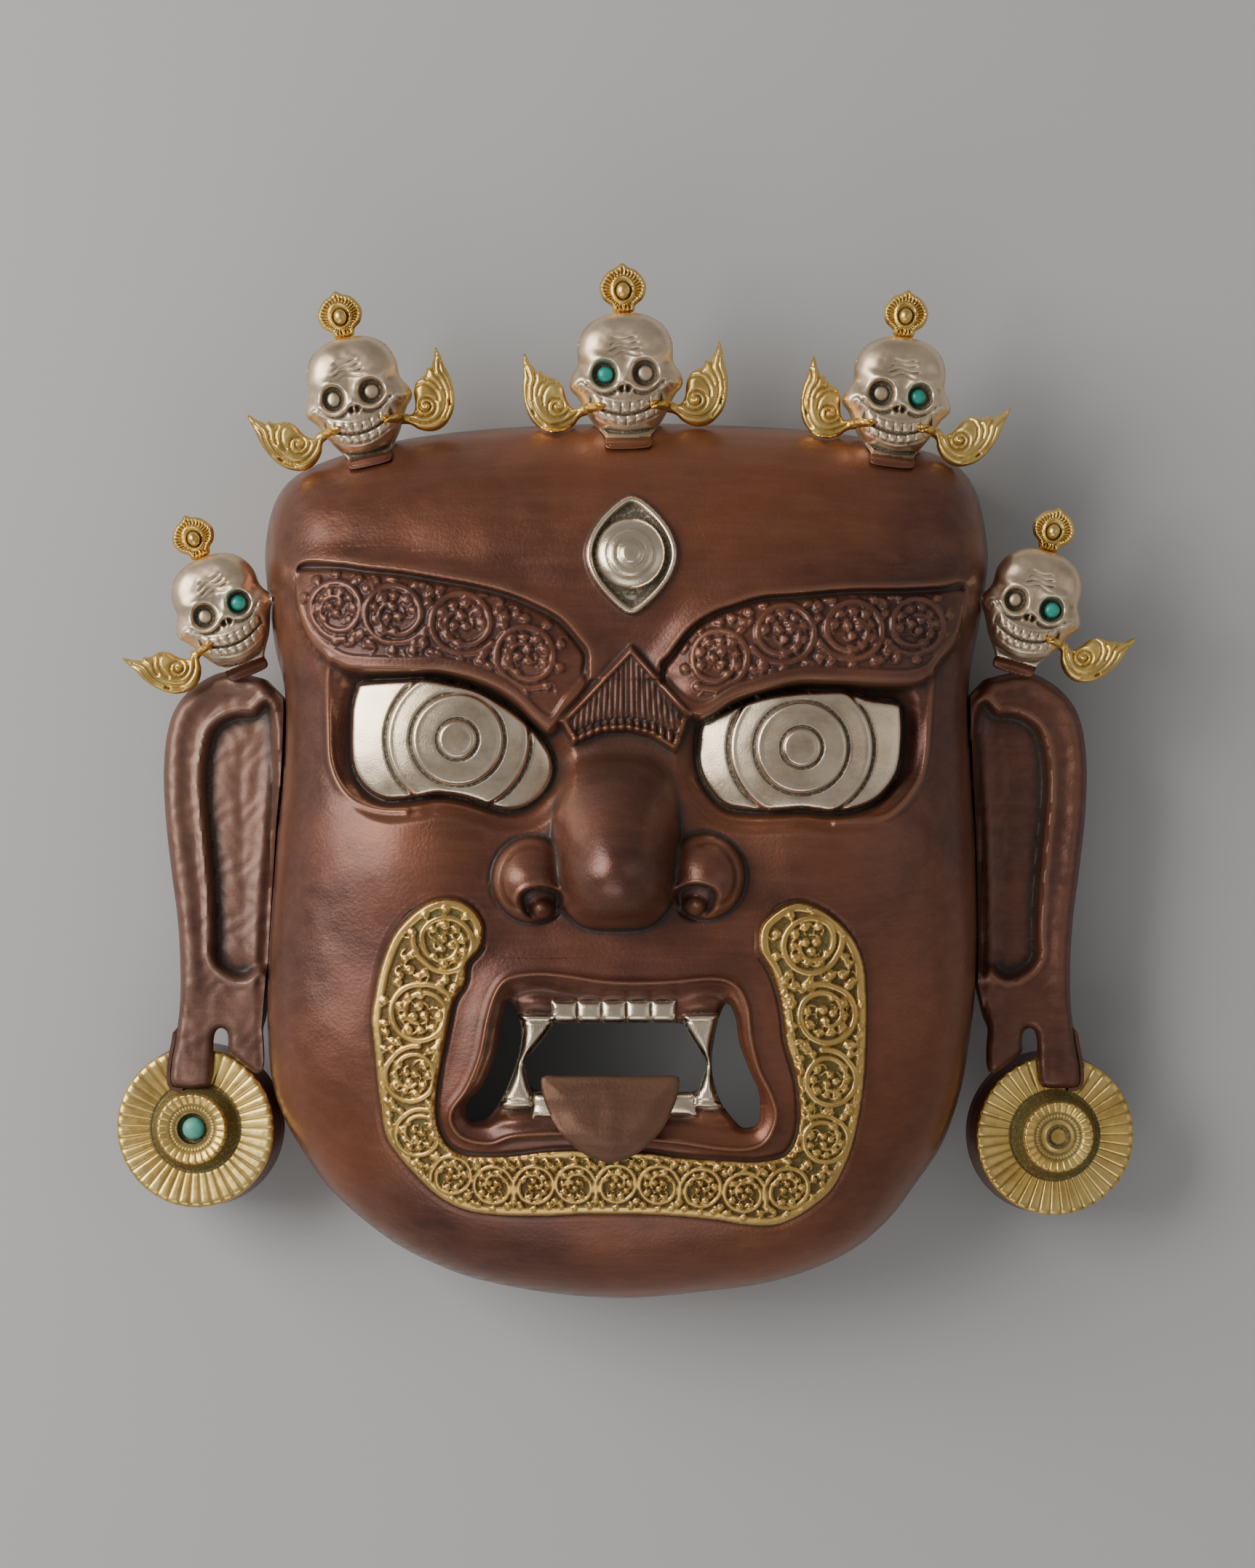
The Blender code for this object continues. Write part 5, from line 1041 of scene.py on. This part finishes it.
def makeEar(side, name, finish):
    def foot(x, y):
        back = ear["back"] - math.tan(math.radians(ear["sweep"])) * (side * x - ear["sweepFrom"])
        return back + (ear["lobeBack"] - back) * ease(ear["lobeOverDisc"] + 6, ear["lobeOverDisc"], y)

    made = pressSheet(name, earLoops[side], lambda x, y: earHeight(x, y, side), ear["spacing"], wall=foot,
                      wallSteps=3,
                      thickness=ear["sheet"], hollowReach=2.4)
    finishPiece(made, [finish], [ear["nodes"][side]], sharp=55)
    print(name + ":", len(made.data.polygons), "faces")


# the left ear gets the paler copper painted as lit, the right ear the darker copper painted as shaded
makeEar(-1, "earLeftSheet", litSideCopper)
makeEar(1, "earRightSheet", shadeSideCopper)


# the ear discs, spun from their profile and chased with petals

disc = {
    "radius": 28.8, "flare": 0.9, "sheet": 1.3, "lift": 15.4, "drop": 3.2, "steps": 336,
    "plate": (15.9, 28.4, 42, 0.8), "boss": (8.3, 12.9, 28, 0.75), "dashes": (6.5, 8.1, 42, 0.35),
    "places": [("left", -154.86, -124.2, 40), ("right", 154.86, -127, 40)],
}


def petals(radius, angle, band):
    start, end, count, rise = band
    across = 2 * np.abs(np.mod(angle * count / (2 * math.pi), 1) - 0.5)
    half = math.pi * radius / count
    beyond = np.clip((radius - (end - half)) / half, 0, 1)
    within = (radius > start) & (radius < end)
    swell = 0.55 + 0.45 * ease(start, end - 1, radius)
    domed = np.sqrt(np.clip(1 - across**4.5 - beyond**2, 0, 1))
    return np.where(within, rise * swell * domed * ease(start, start + 1.2, radius), 0.0)


def makeDisc(where, middleX, middleY, level):
    side = -1 if where == "left" else 1
    floor = 17.6 if side < 0 else 20.2
    front = [(0.0, floor), (2.0, floor), (3.2, floor)]
    front += [(4.6, 17.6), (5.3, 17.9), (5.5, 20.2), (5.7, 20.6)] if side < 0 else [(3.3, 20.8), (4.0, 21.0),
        (4.8, 20.4), (5.5, 20.3)]
    front += [(r, 20.3 + 0.9 * (r - 5.9) / 5.7) for r in np.arange(6.1, 12.2, 0.32)]
    front += [(12.5, 20.9), (12.9, 20.5), (13.3, 19.6), (14.0, 17.8), (14.8, 16.0), (15.5, 14.9)]
    front += [(r, 14.7 + 0.7 * (r - 15.9) / 10.7) for r in np.arange(15.9, 28.4, 0.42)]
    front += [(28.6, 15.2), (28.8, 14.4), (29.0, 11.0), (29.3, 5.0), (disc["radius"] + disc["flare"], 0.0)]
    inner = [(disc["radius"] + disc["flare"] - disc["sheet"], 0.0), (disc["radius"] - disc["sheet"], 13.0),
             (15.2, 12.8), (12.4, 18.2), (7.0, 16.1), (0.0, 16.1)]
    profile = front + inner
    mesh = bpy.data.meshes.new("disc" + where.title())
    made = bpy.data.objects.new("disc" + where.title(), mesh)
    bpy.context.scene.collection.objects.link(made)
    mesh.from_pydata([(r, 0, h) for r, h in profile], [(i, i + 1) for i in range(len(profile) - 1)], [])
    deselectAll()
    made.select_set(True)
    bpy.context.view_layer.objects.active = made
    bpy.ops.object.mode_set(mode="EDIT")
    bpy.ops.mesh.select_all(action="SELECT")
    steps = int(disc["steps"] / coarser)
    bpy.ops.mesh.spin(steps=steps, angle=2 * math.pi, center=(0, 0, 0), axis=(0, 0, 1))
    bpy.ops.mesh.select_all(action="SELECT")
    bpy.ops.mesh.remove_doubles(threshold=0.001)
    bpy.ops.mesh.normals_make_consistent(inside=False)
    bpy.ops.object.mode_set(mode="OBJECT")
    points = readPoints(mesh)
    radius, angle = np.hypot(points[:, 0], points[:, 1]), np.arctan2(points[:, 1], points[:, 0])
    startLevel = points[:, 2].copy()
    onFront = (startLevel > np.where(radius > 13.2, 13.9, 17.0)) & (radius > 5.6) & (radius < 28.5)
    chased = petals(radius, angle, disc["plate"]) + petals(radius, angle + 0.07, disc["boss"])
    chased = chased + petals(radius, angle, disc["dashes"])
    lowest = 0.25
    points[:, 2] += np.where(onFront, chased - lowest, 0)
    hollow = np.where(onFront, 0.42 - chased * 0.9,
                      0.0) + np.where((radius > 13.3) & (radius < 16.6) & (startLevel > 13.9), 0.35, 0)
    hollow += np.where((radius > 3.2) & (radius < (5.6 if side < 0 else 4.2)) & (startLevel > 17), 0.8, 0)
    markHollow(mesh, hollow)
    # the whole disc sits a little out of true, as beaten work does
    points[:, 2] += 0.25 * np.sin(angle * 2 + 1) * (radius / disc["radius"]) ** 2 * (startLevel > 10)
    points[:, 2] -= disc["lift"]
    tilt = side * math.radians(ear["sweep"])
    placed = np.column_stack([points[:, 0] * math.cos(tilt) + points[:, 2] * math.sin(tilt) + middleX,
                              points[:, 1] + middleY,
                              -points[:, 0] * math.sin(tilt) + points[:, 2] * math.cos(tilt) + level - disc["drop"]])
    writePoints(mesh, placed * mm)

    def paint(centres, normals):
        away = np.hypot(centres[:, 0] - middleX, centres[:, 1] - middleY)
        return np.where((normals[:, 2] > 0.25) & (away < 29.2), 0, 1)

    finishPiece(made, [gilt, copper], ["ear_disc_" + where], paint=paint)
    print("disc", where + ":", len(mesh.polygons), "faces")


for place in disc["places"]:
    makeDisc(*place)


def makeBead(name, node, x, y, floor, radius, finish):
    deselectAll()
    bpy.ops.mesh.primitive_uv_sphere_add(segments=40, ring_count=20, radius=1)
    bead = bpy.context.object
    bead.name = name
    points = readPoints(bead.data)
    flat = np.sign(points[:, 2]) * np.abs(points[:, 2]) ** 0.9
    points = np.column_stack([x + points[:, 0] * radius, y + points[:, 1] * radius,
                              floor + np.maximum(flat, 0) * radius * 0.72 + 0.03 * np.minimum(flat, 0)])
    writePoints(bead.data, points * mm)
    finishPiece(bead, [finish], [node])


makeBead("discStone", "bead_ear_disc", -155.11, -124.2, 39.5, 4.05, paleTurquoise)


# the five skulls, each with its flames and its crest

skull = {
    "half": [(0, 1), (0.10, 0.995), (0.19, 0.975), (0.28, 0.925), (0.345, 0.85), (0.385, 0.74), (0.385, 0.62),
             (0.405, 0.55),
             (0.45, 0.48), (0.455, 0.41), (0.40, 0.345), (0.355, 0.27), (0.30, 0.16), (0.225, 0.055), (0.185, -0.01),
             (0.19, -0.07), (0.16, -0.115), (0, -0.125)],
    "head": [(0, 1), (0.19, 0.975), (0.33, 0.86), (0.385, 0.70), (0.385, 0.60), (0.44, 0.50), (0.45, 0.40),
             (0.37, 0.30), (0.30, 0.16),
             (0.20, 0.05), (0, 0)],
    "side": 6.0, "rise": 15.0, "sheet": 1.3, "spacing": 0.46, "socket": (0.165, 0.52),
    "cheekLine": [(0.0, 0.43), (0.05, 0.405), (0.10, 0.37), (0.17, 0.362), (0.24, 0.39), (0.30, 0.445)],
    "jawLine": [(0.37, 0.40), (0.335, 0.30), (0.27, 0.19), (0.17, 0.085), (0.06, 0.05), (0, 0.048)],
    "cheekCurl": [(0.31, 0.44), (0.35, 0.475), (0.395, 0.46), (0.40, 0.42), (0.37, 0.405), (0.355, 0.43)],
    "places": [
        # name, chin, lean, height, back, swing of each flame, side with a stone, how far the features turn
        ("top_left", -91, 117, 12, 42, 50, {-1: -24, 1: 3}, 0, -0.035),
        ("top_middle", 1, 122.96, 2, 44, 50, {-1: -6, 1: 0}, -1, -0.012),
        ("top_right", 94.5, 116.5, -6, 42, 50, {-1: 3, 1: -28}, 1, 0.02),
        ("side_left", -136, 43, 22, 40, 46.6, {-1: -34}, 1, 0.012),
        ("side_right", 139.5, 44, -16, 40, 46.6, {1: -30}, 1, -0.01),
    ],
    "stone": 2.85, "chinDrop": 0.05,
}
flame = {
    "root": (0.37, 0.225), "sheet": 1.0, "spacing": 0.38, "rise": 2.6,
    "shape": [(0.37, 0.18), (0.44, 0.12), (0.50, 0.085), (0.56, 0.068), (0.62, 0.07), (0.68, 0.095), (0.73, 0.14),
              (0.77, 0.19), (0.80, 0.26),
              (0.815, 0.34), (0.82, 0.42), (0.815, 0.50), (0.80, 0.565), (0.79, 0.62), (0.785, 0.68), (0.765, 0.755),
              (0.742, 0.71), (0.725, 0.665),
              (0.70, 0.625), (0.685, 0.59), (0.65, 0.60), (0.632, 0.565), (0.60, 0.54), (0.565, 0.525), (0.53, 0.505),
              (0.505, 0.47), (0.488, 0.43),
              (0.482, 0.38), (0.474, 0.33), (0.455, 0.28), (0.43, 0.255), (0.40, 0.258), (0.37, 0.27)],
    "curl": (0.56, 0.285), "coil": 0.098,
    "grooves": [
        [(0.40, 0.215), (0.47, 0.165), (0.55, 0.14), (0.64, 0.155), (0.71, 0.23), (0.745, 0.34), (0.735, 0.45),
         (0.70, 0.53), (0.71, 0.61), (0.745, 0.69)],
        [(0.755, 0.25), (0.785, 0.36), (0.775, 0.47), (0.75, 0.55), (0.765, 0.64)],
        [(0.53, 0.47), (0.575, 0.475), (0.625, 0.445), (0.665, 0.38), (0.67, 0.31)],
        [(0.61, 0.545), (0.62, 0.50), (0.655, 0.485), (0.685, 0.45), (0.705, 0.40)],
        [(0.69, 0.15), (0.735, 0.21), (0.76, 0.28)],
    ],
}
crest = {
    "shape": [(-0.07, 0.012), (-0.10, 0.07), (-0.155, 0.115), (-0.185, 0.18), (-0.182, 0.25), (-0.12, 0.34),
              (-0.05, 0.375), (0, 0.41), (0.05, 0.375),
              (0.12, 0.34), (0.182, 0.25), (0.185, 0.18), (0.155, 0.115), (0.10, 0.07), (0.07, 0.012)],
    "spacing": 0.3, "sheet": 1.0, "highest": 184.98,
}


def beneathLevel(x, y):
    found = np.full(len(x), -100.0)
    over = depthIn(x, y, faceLoop + outOf(faceLoop) * 0.4) > 0
    if over.any():
        found[over] = faceHeight(x[over], y[over], False)
    for side in (-1, 1):
        near = (depthIn(x, y, earLoops[side]) > -0.6) & ~over
        if near.any():
            found[near] = np.maximum(found[near], earHeight(x[near], y[near], side) + 0.4)
    return found + 0.8


def makeSkull(name, chinX, chinY, lean, height, back, swings, stone, turn):
    label = name.title().replace("_", "")
    lean = math.radians(lean)
    right = np.array([math.cos(lean), math.sin(lean)])
    up = np.array([-math.sin(lean), math.cos(lean)])

    def place(points):
        points = np.asarray(points, float)
        return np.array([chinX, chinY]) + np.outer(points[:, 0] * height, right) + np.outer(points[:, 1] * height, up)

    def local(x, y):
        dx, dy = x - chinX, y - chinY
        return (dx * right[0] + dy * right[1]) / height, (dx * up[0] + dy * up[1]) / height

    outline = curveThrough(place(bothSides(skull["half"])), 0.8)
    head = curveThrough(place(bothSides(skull["head"])), 1.2)

    def foot(x, y):
        return np.maximum(back, beneathLevel(x, y))

    cheek = curveThrough(skull["cheekLine"], 0.01, closed=False)
    jaw = curveThrough(skull["jawLine"], 0.02, closed=False)
    curl = curveThrough(skull["cheekCurl"], 0.008, closed=False)

    def front(x, y):
        u, v = local(x, y)
        v = v + skull["chinDrop"] * (1 - v)
        u = u - turn * np.clip(1 - (u / 0.46) ** 2, 0, 1)
        side = np.abs(u)
        inset = np.clip(depthIn(x, y, head) / 9.5, 0, 1)
        z = back + skull["side"] + (skull["rise"] - skull["side"] - 1.2) * np.sqrt(1 - (1 - inset) ** 2) * ease(-0.02,
            0.05, v)
        z = z + 1.4 * bump(side, v, (0.17, 0.645), (0.16, 0.045)) + 1.6 * bump(side, v, (0.34, 0.43), (0.09, 0.055))
        z = z - 0.9 * bump(side, v, (0.345, 0.60), (0.05, 0.06)) + 1.0 * bump(u, v, (0, 0.30), (0.16, 0.06))
        z = z + 1.0 * bump(u, v, (0, 0.49), (0.05, 0.07)) + 0.8 * bump(u, v, (0, 0.06), (0.13, 0.035))
        away = np.hypot(side - skull["socket"][0], v - skull["socket"][1])
        z = z + 0.4 * bell(away - 0.125, 0.022) - 3.6 * ease(0.118, 0.075, away)
        z = z + 1.3 * roundOff((away / 0.068) ** 2)
        z = z - 2.4 * bump(side, v, (0.024, 0.40), (0.016, 0.026)) + 0.5 * bell(np.hypot(side - 0.03, v - 0.402)
            - 0.036, 0.012)
        near, _ = closestOn(side, v, cheek, False)
        z = z - 0.95 * bell(near, 0.013) * inset + 0.7 * bell(closestOn(side, v - 0.032, cheek, False)[0],
                                                              0.02) * inset
        z = z - 0.6 * bell(closestOn(side, v, curl, False)[0], 0.012)
        z = z - 0.7 * bell(closestOn(side, v, jaw, False)[0], 0.014) * inset
        smile = 0.205 + 1.20 * u**2
        mouthEnd = ease(0.285, 0.26, side)
        pitch = 0.076
        for low, high, shift in ((0.006, 0.088, 0.5), (-0.080, -0.006, 0.0)):
            across = 2 * np.abs(np.mod(u / pitch + shift, 1) - 0.5)
            upright = 2 * np.abs(v - smile - (low + high) / 2) / (high - low)
            tooth = np.clip(1 - across**3, 0, 1) ** 0.5 * np.clip(1 - upright**4, 0, 1) ** 0.5
            z = z + (1.0 * tooth - 0.3) * (upright < 1) * mouthEnd
            z = z + 0.35 * bell(v - smile - (high + 0.014 if low > 0 else low - 0.014), 0.010) * mouthEnd
        z = z - 1.1 * bell(v - smile, 0.007) * mouthEnd - 0.9 * bump(side, v, (0.285, 0.31), (0.015, 0.045))
        for k, level in enumerate((0.675, 0.715, 0.755, 0.79)):
            wave = level + 0.010 * np.cos(u * 34 + k) - 0.9 * (u - 0.01 * k) ** 2
            z = z - (0.55 * bell(v - wave, 0.012) - 0.25 * bell(v - wave - 0.02, 0.012)) * ease(0.17 - 0.018 * k,
                0.13 - 0.018 * k, side)
        z = z + 0.05 * np.sin(x * 1.3 + y * 0.4) * np.sin(y * 1.1 - x * 0.3) * inset
        neck = foot(x, y) + 0.7 + 2.2 * np.sqrt(np.clip(1 - (u / 0.22) ** 2, 0, 1)) * ease(-0.075, 0.0, v)
        z = np.where(v < 0.04, neck + (z - neck) * ease(-0.01, 0.04, v), z)
        return np.maximum(z, foot(x, y) + 0.7)

    # darker in the eye sockets, round the mouth and towards the chin
    def grimeAndShade(x, y):
        u, v = local(x, y)
        away = np.hypot(np.abs(u - turn) - skull["socket"][0], v + skull["chinDrop"] * (1 - v) - skull["socket"][1])
        return 0.20 * ease(0.125, 0.08, away) + 0.10 * bump(u, v, (0, 0.25), (0.35, 0.16)) + 0.06 * ease(0.42, 0.30,
            v)

    made = pressSheet("skull" + label, outline, front, skull["spacing"], wall=foot, wallSteps=3,
                      thickness=skull["sheet"], hollowReach=0.8, grimeAndShade=grimeAndShade)

    def paint(centres, normals):
        u, v = local(centres[:, 0], centres[:, 1])
        return np.where(v > 0.03 - skull["chinDrop"], 0, 1)

    finishPiece(made, [silver, copper], ["skull_" + name], paint=paint)

    for side, swing in swings.items():
        angle = math.radians(swing)

        def swung(points, side=side, angle=angle):
            points = np.asarray(points, float) - flame["root"]
            turned = np.column_stack([points[:, 0] * math.cos(angle) - points[:, 1] * math.sin(angle),
                                      points[:, 0] * math.sin(angle) + points[:, 1]
                                      * math.cos(angle)]) + flame["root"]
            return place(mirrored([tuple(p) for p in turned], side))

        body = swung(flame["shape"])
        push = 0.0
        solid = np.concatenate([body, (body + np.roll(body, 1, axis=0)) / 2])
        while depthIn(solid[:, 0] + side * right[0] * push, solid[:, 1] + side * right[1] * push,
                      outline).max() > -0.35 and push < 15:
            push += 0.25
        shift = side * right * push
        stalk = place([(side * 0.20, 0.262), (side * 0.20, 0.205)])
        loop = curveThrough(np.concatenate([stalk[1:], body + shift, stalk[:1]]), 0.7)

        def under(x, y):
            plate = np.maximum(back + 3.0, beneathLevel(x, y))
            onSkull = ease(-1.2, 1.5, depthIn(x, y, outline))
            return plate + (np.maximum(front(x, y), plate) + 0.2 - plate) * onSkull

        lines = [curveThrough(swung(line) + shift, 0.4, closed=False) for line in flame["grooves"]]
        coil = np.linspace(0, 1, 60)
        wound = flame["coil"] * (1 - 0.86 * coil)
        spiral = np.column_stack([flame["curl"][0] + wound * np.cos(3.4 + coil * 3.9 * math.pi),
                                  flame["curl"][1] + wound * np.sin(3.4 + coil * 3.9 * math.pi)])
        spiral = swung(spiral) + shift
        knob = swung([flame["curl"]])[0] + shift

        def over(x, y):
            depth = np.clip(depthIn(x, y, loop), 0, None)
            z = under(x, y) + 1.0 + flame["rise"] * np.sqrt(1 - (1 - np.clip(depth / 3.2, 0, 1)) ** 2)
            for line in lines:
                z = z - 0.85 * bell(closestOn(x, y, line, False)[0], 0.5)
            z = z - 0.95 * bell(closestOn(x, y, spiral, False)[0], 0.5) * ease(0.4, 1.4, depth)
            return z + 0.9 * roundOff(((x - knob[0]) ** 2 + (y - knob[1]) ** 2) / 1.2**2)

        where = ("Left" if side < 0 else "Right")
        node = "flame_" + name + ("_" + where.lower() if len(swings) > 1 else "")
        made = pressSheet("flame" + label + where, loop, over, flame["spacing"], wall=lambda x, y: under(x, y) + 0.1,
                          wallSteps=2, thickness=flame["sheet"] * 0.8, hollowReach=0.7)
        finishPiece(made, [gilt], [node], sharp=60)

    leaf = curveThrough(place([(u, 1 + v) for u, v in crest["shape"]]), 0.7)
    leaf[:, 1] = np.minimum(leaf[:, 1], crest["highest"])

    def crestTop(x, y):
        u, v = local(x, y)
        v = v - 1
        depth = depthIn(x, y, leaf)
        frameU, frameV = u / 0.082, (v - 0.20) / 0.105
        ringShape = np.hypot(frameU, frameV) + 0.18 * np.clip(frameV, 0, 2) ** 2 * 0.5
        angle = np.arctan2(v - 0.17, u)
        z = back + 3.6 + 1.1 * ease(0, 1.0, depth) + 0.35 * bell(depth - 0.9, 0.45)
        z = z + 0.5 * np.cos(angle * 34) * ease(1.15, 1.3, ringShape) * ease(0.9, 1.7, depth) * (v > 0.05)
        z = z + 0.5 * np.cos(u * 190) * ease(0.08, 0.05, v) * ease(0.3, 0.8, depth)
        z = z + 0.6 * bell(ringShape - 1.02, 0.11)
        away = np.hypot(u / 0.056, (v - 0.185) / 0.068)
        return z + 2.6 * roundOff(away**2) - 0.5 * bell(away - 1.05, 0.12)

    made = pressSheet("crest" + label, leaf, crestTop, crest["spacing"], wall=lambda x, y: x * 0 + back + 2.4,
                      thickness=crest["sheet"] * 0.9, hollowReach=0.6)
    finishPiece(made, [gilt], ["crest_" + name], sharp=60)

    if stone:
        level = (skull["socket"][1] - skull["chinDrop"]) / (1 - skull["chinDrop"])
        at = place([(stone * skull["socket"][0], level)])
        floor = front(at[:, 0], at[:, 1])[0] - 0.5
        makeBead("stone" + label, "bead_" + name, at[0, 0], at[0, 1], floor, skull["stone"], turquoise)
    print("skull", name, "with its flames and crest")


for place in skull["places"]:
    makeSkull(*place)


# the tongue

tongue = {
    "half": [(0, -101.2), (8, -101.3), (16, -101.3), (21.5, -101.2), (23.4, -101.6), (24.0, -103.2), (23.4, -107.5),
             (21.5, -113.0), (18.0, -119.4),
             (13.0, -125.0), (7.0, -129.2), (0, -130.9)],
    "middle": -5.2, "sheet": 1.3, "spacing": 0.7,
}
tongueLoop = curveThrough(bothSides(tongue["half"], tongue["middle"]), 1.5)


def makeTongue():
    levels = np.arange(-134, -98, 1.0)
    across = np.linspace(-23, 23, 47) + tongue["middle"]
    highest = np.array([faceHeight(across, np.full_like(across, y), False).max() for y in levels])
    highest = np.array([highest[max(0, i - 3):i + 4].max() for i in range(len(levels))])

    def over(x, y):
        depth = depthIn(x, y, tongueLoop)
        z = np.interp(y, levels, softenLine(highest)) + 1.9 + 1.6 * (1
            - ((x - tongue["middle"]) / 25) ** 2) + 1.4 * ease(0, 8, depth)
        z = z - 0.7 * (1 - np.clip(depth / 1.2, 0, 1)) ** 2
        return z + 0.3 * bell(x - tongue["middle"], 3.2) * ease(-100, -112,
                                                                y) + 0.05 * np.sin(x * 0.5) * np.sin(y * 0.4)

    made = pressSheet("tongueSheet", tongueLoop, over, tongue["spacing"], wall=lambda x, y: over(x, y) - 0.9,
                      thickness=tongue["sheet"], hollowReach=1.2)
    finishPiece(made, [tongueCopper], ["tongue"], sharp=50)
    print("tongue:", len(made.data.polygons), "faces")


def softenLine(values):
    padded = np.pad(values, 3, mode="edge")
    return np.convolve(padded, np.ones(7) / 7, mode="valid")


makeTongue()


# floor, lights and camera

stageSet = {"floorSize": 6.0, "floorColour": (0.52, 0.515, 0.505), "camera": (0.0008, -0.0004, 1.4), "lens": 86.88}


def makeFloor():
    deselectAll()
    bpy.ops.mesh.primitive_plane_add(size=stageSet["floorSize"], location=(0, 0, 0))
    floor = bpy.context.object
    floor.name = "floor"
    made = bpy.data.materials.new("paleFloor")
    made.use_nodes = True
    shader = made.node_tree.nodes["Principled BSDF"]
    shader.inputs["Base Color"].default_value = (*stageSet["floorColour"], 1)
    shader.inputs["Roughness"].default_value = 0.9
    shader.inputs["Specular IOR Level"].default_value = 0.1
    floor.data.materials.append(made)


def makeLight(name, place, aim, size, power, colour=(1, 1, 1)):
    data = bpy.data.lights.new(name, "AREA")
    data.shape = "RECTANGLE"
    data.size, data.size_y = size
    data.energy = power
    data.color = colour
    lamp = bpy.data.objects.new(name, data)
    bpy.context.scene.collection.objects.link(lamp)
    lamp.location = place
    direction = np.array(aim) - np.array(place)
    lamp.rotation_euler = Vector(direction).to_track_quat("-Z", "Y").to_euler()


makeFloor()
makeLight("bigSoftbox", (-1.35, 0.45, 1.05), (0, 0, 0.03), (1.2, 1.3), 31.0, (1.0, 0.985, 0.96))
makeLight("fillPanel", (1.4, 0.1, 1.1), (0, 0, 0.04), (1.0, 1.4), 1.5, (1.0, 0.98, 0.95))
makeLight("footPanel", (-0.3, -1.3, 1.1), (0, 0, 0.04), (1.4, 0.8), 5.0)
makeLight("throughMouth", (0.036, -0.094, 0.05), (0.036, -0.094, 0.0), (0.04, 0.03), 0.0038)
world = bpy.data.worlds.new("softRoom")
bpy.context.scene.world = world
world.use_nodes = True
world.node_tree.nodes["Background"].inputs[0].default_value = (0.64, 0.64, 0.645, 1)
world.node_tree.nodes["Background"].inputs[1].default_value = 0.42
lens = bpy.data.cameras.new("viewCamera")
lens.lens = stageSet["lens"]
lens.sensor_width = 36.0
lens.clip_start, lens.clip_end = 0.05, 20
camera = bpy.data.objects.new("viewCamera", lens)
bpy.context.scene.collection.objects.link(camera)
camera.location = stageSet["camera"]
bpy.context.scene.camera = camera
print("stage set")
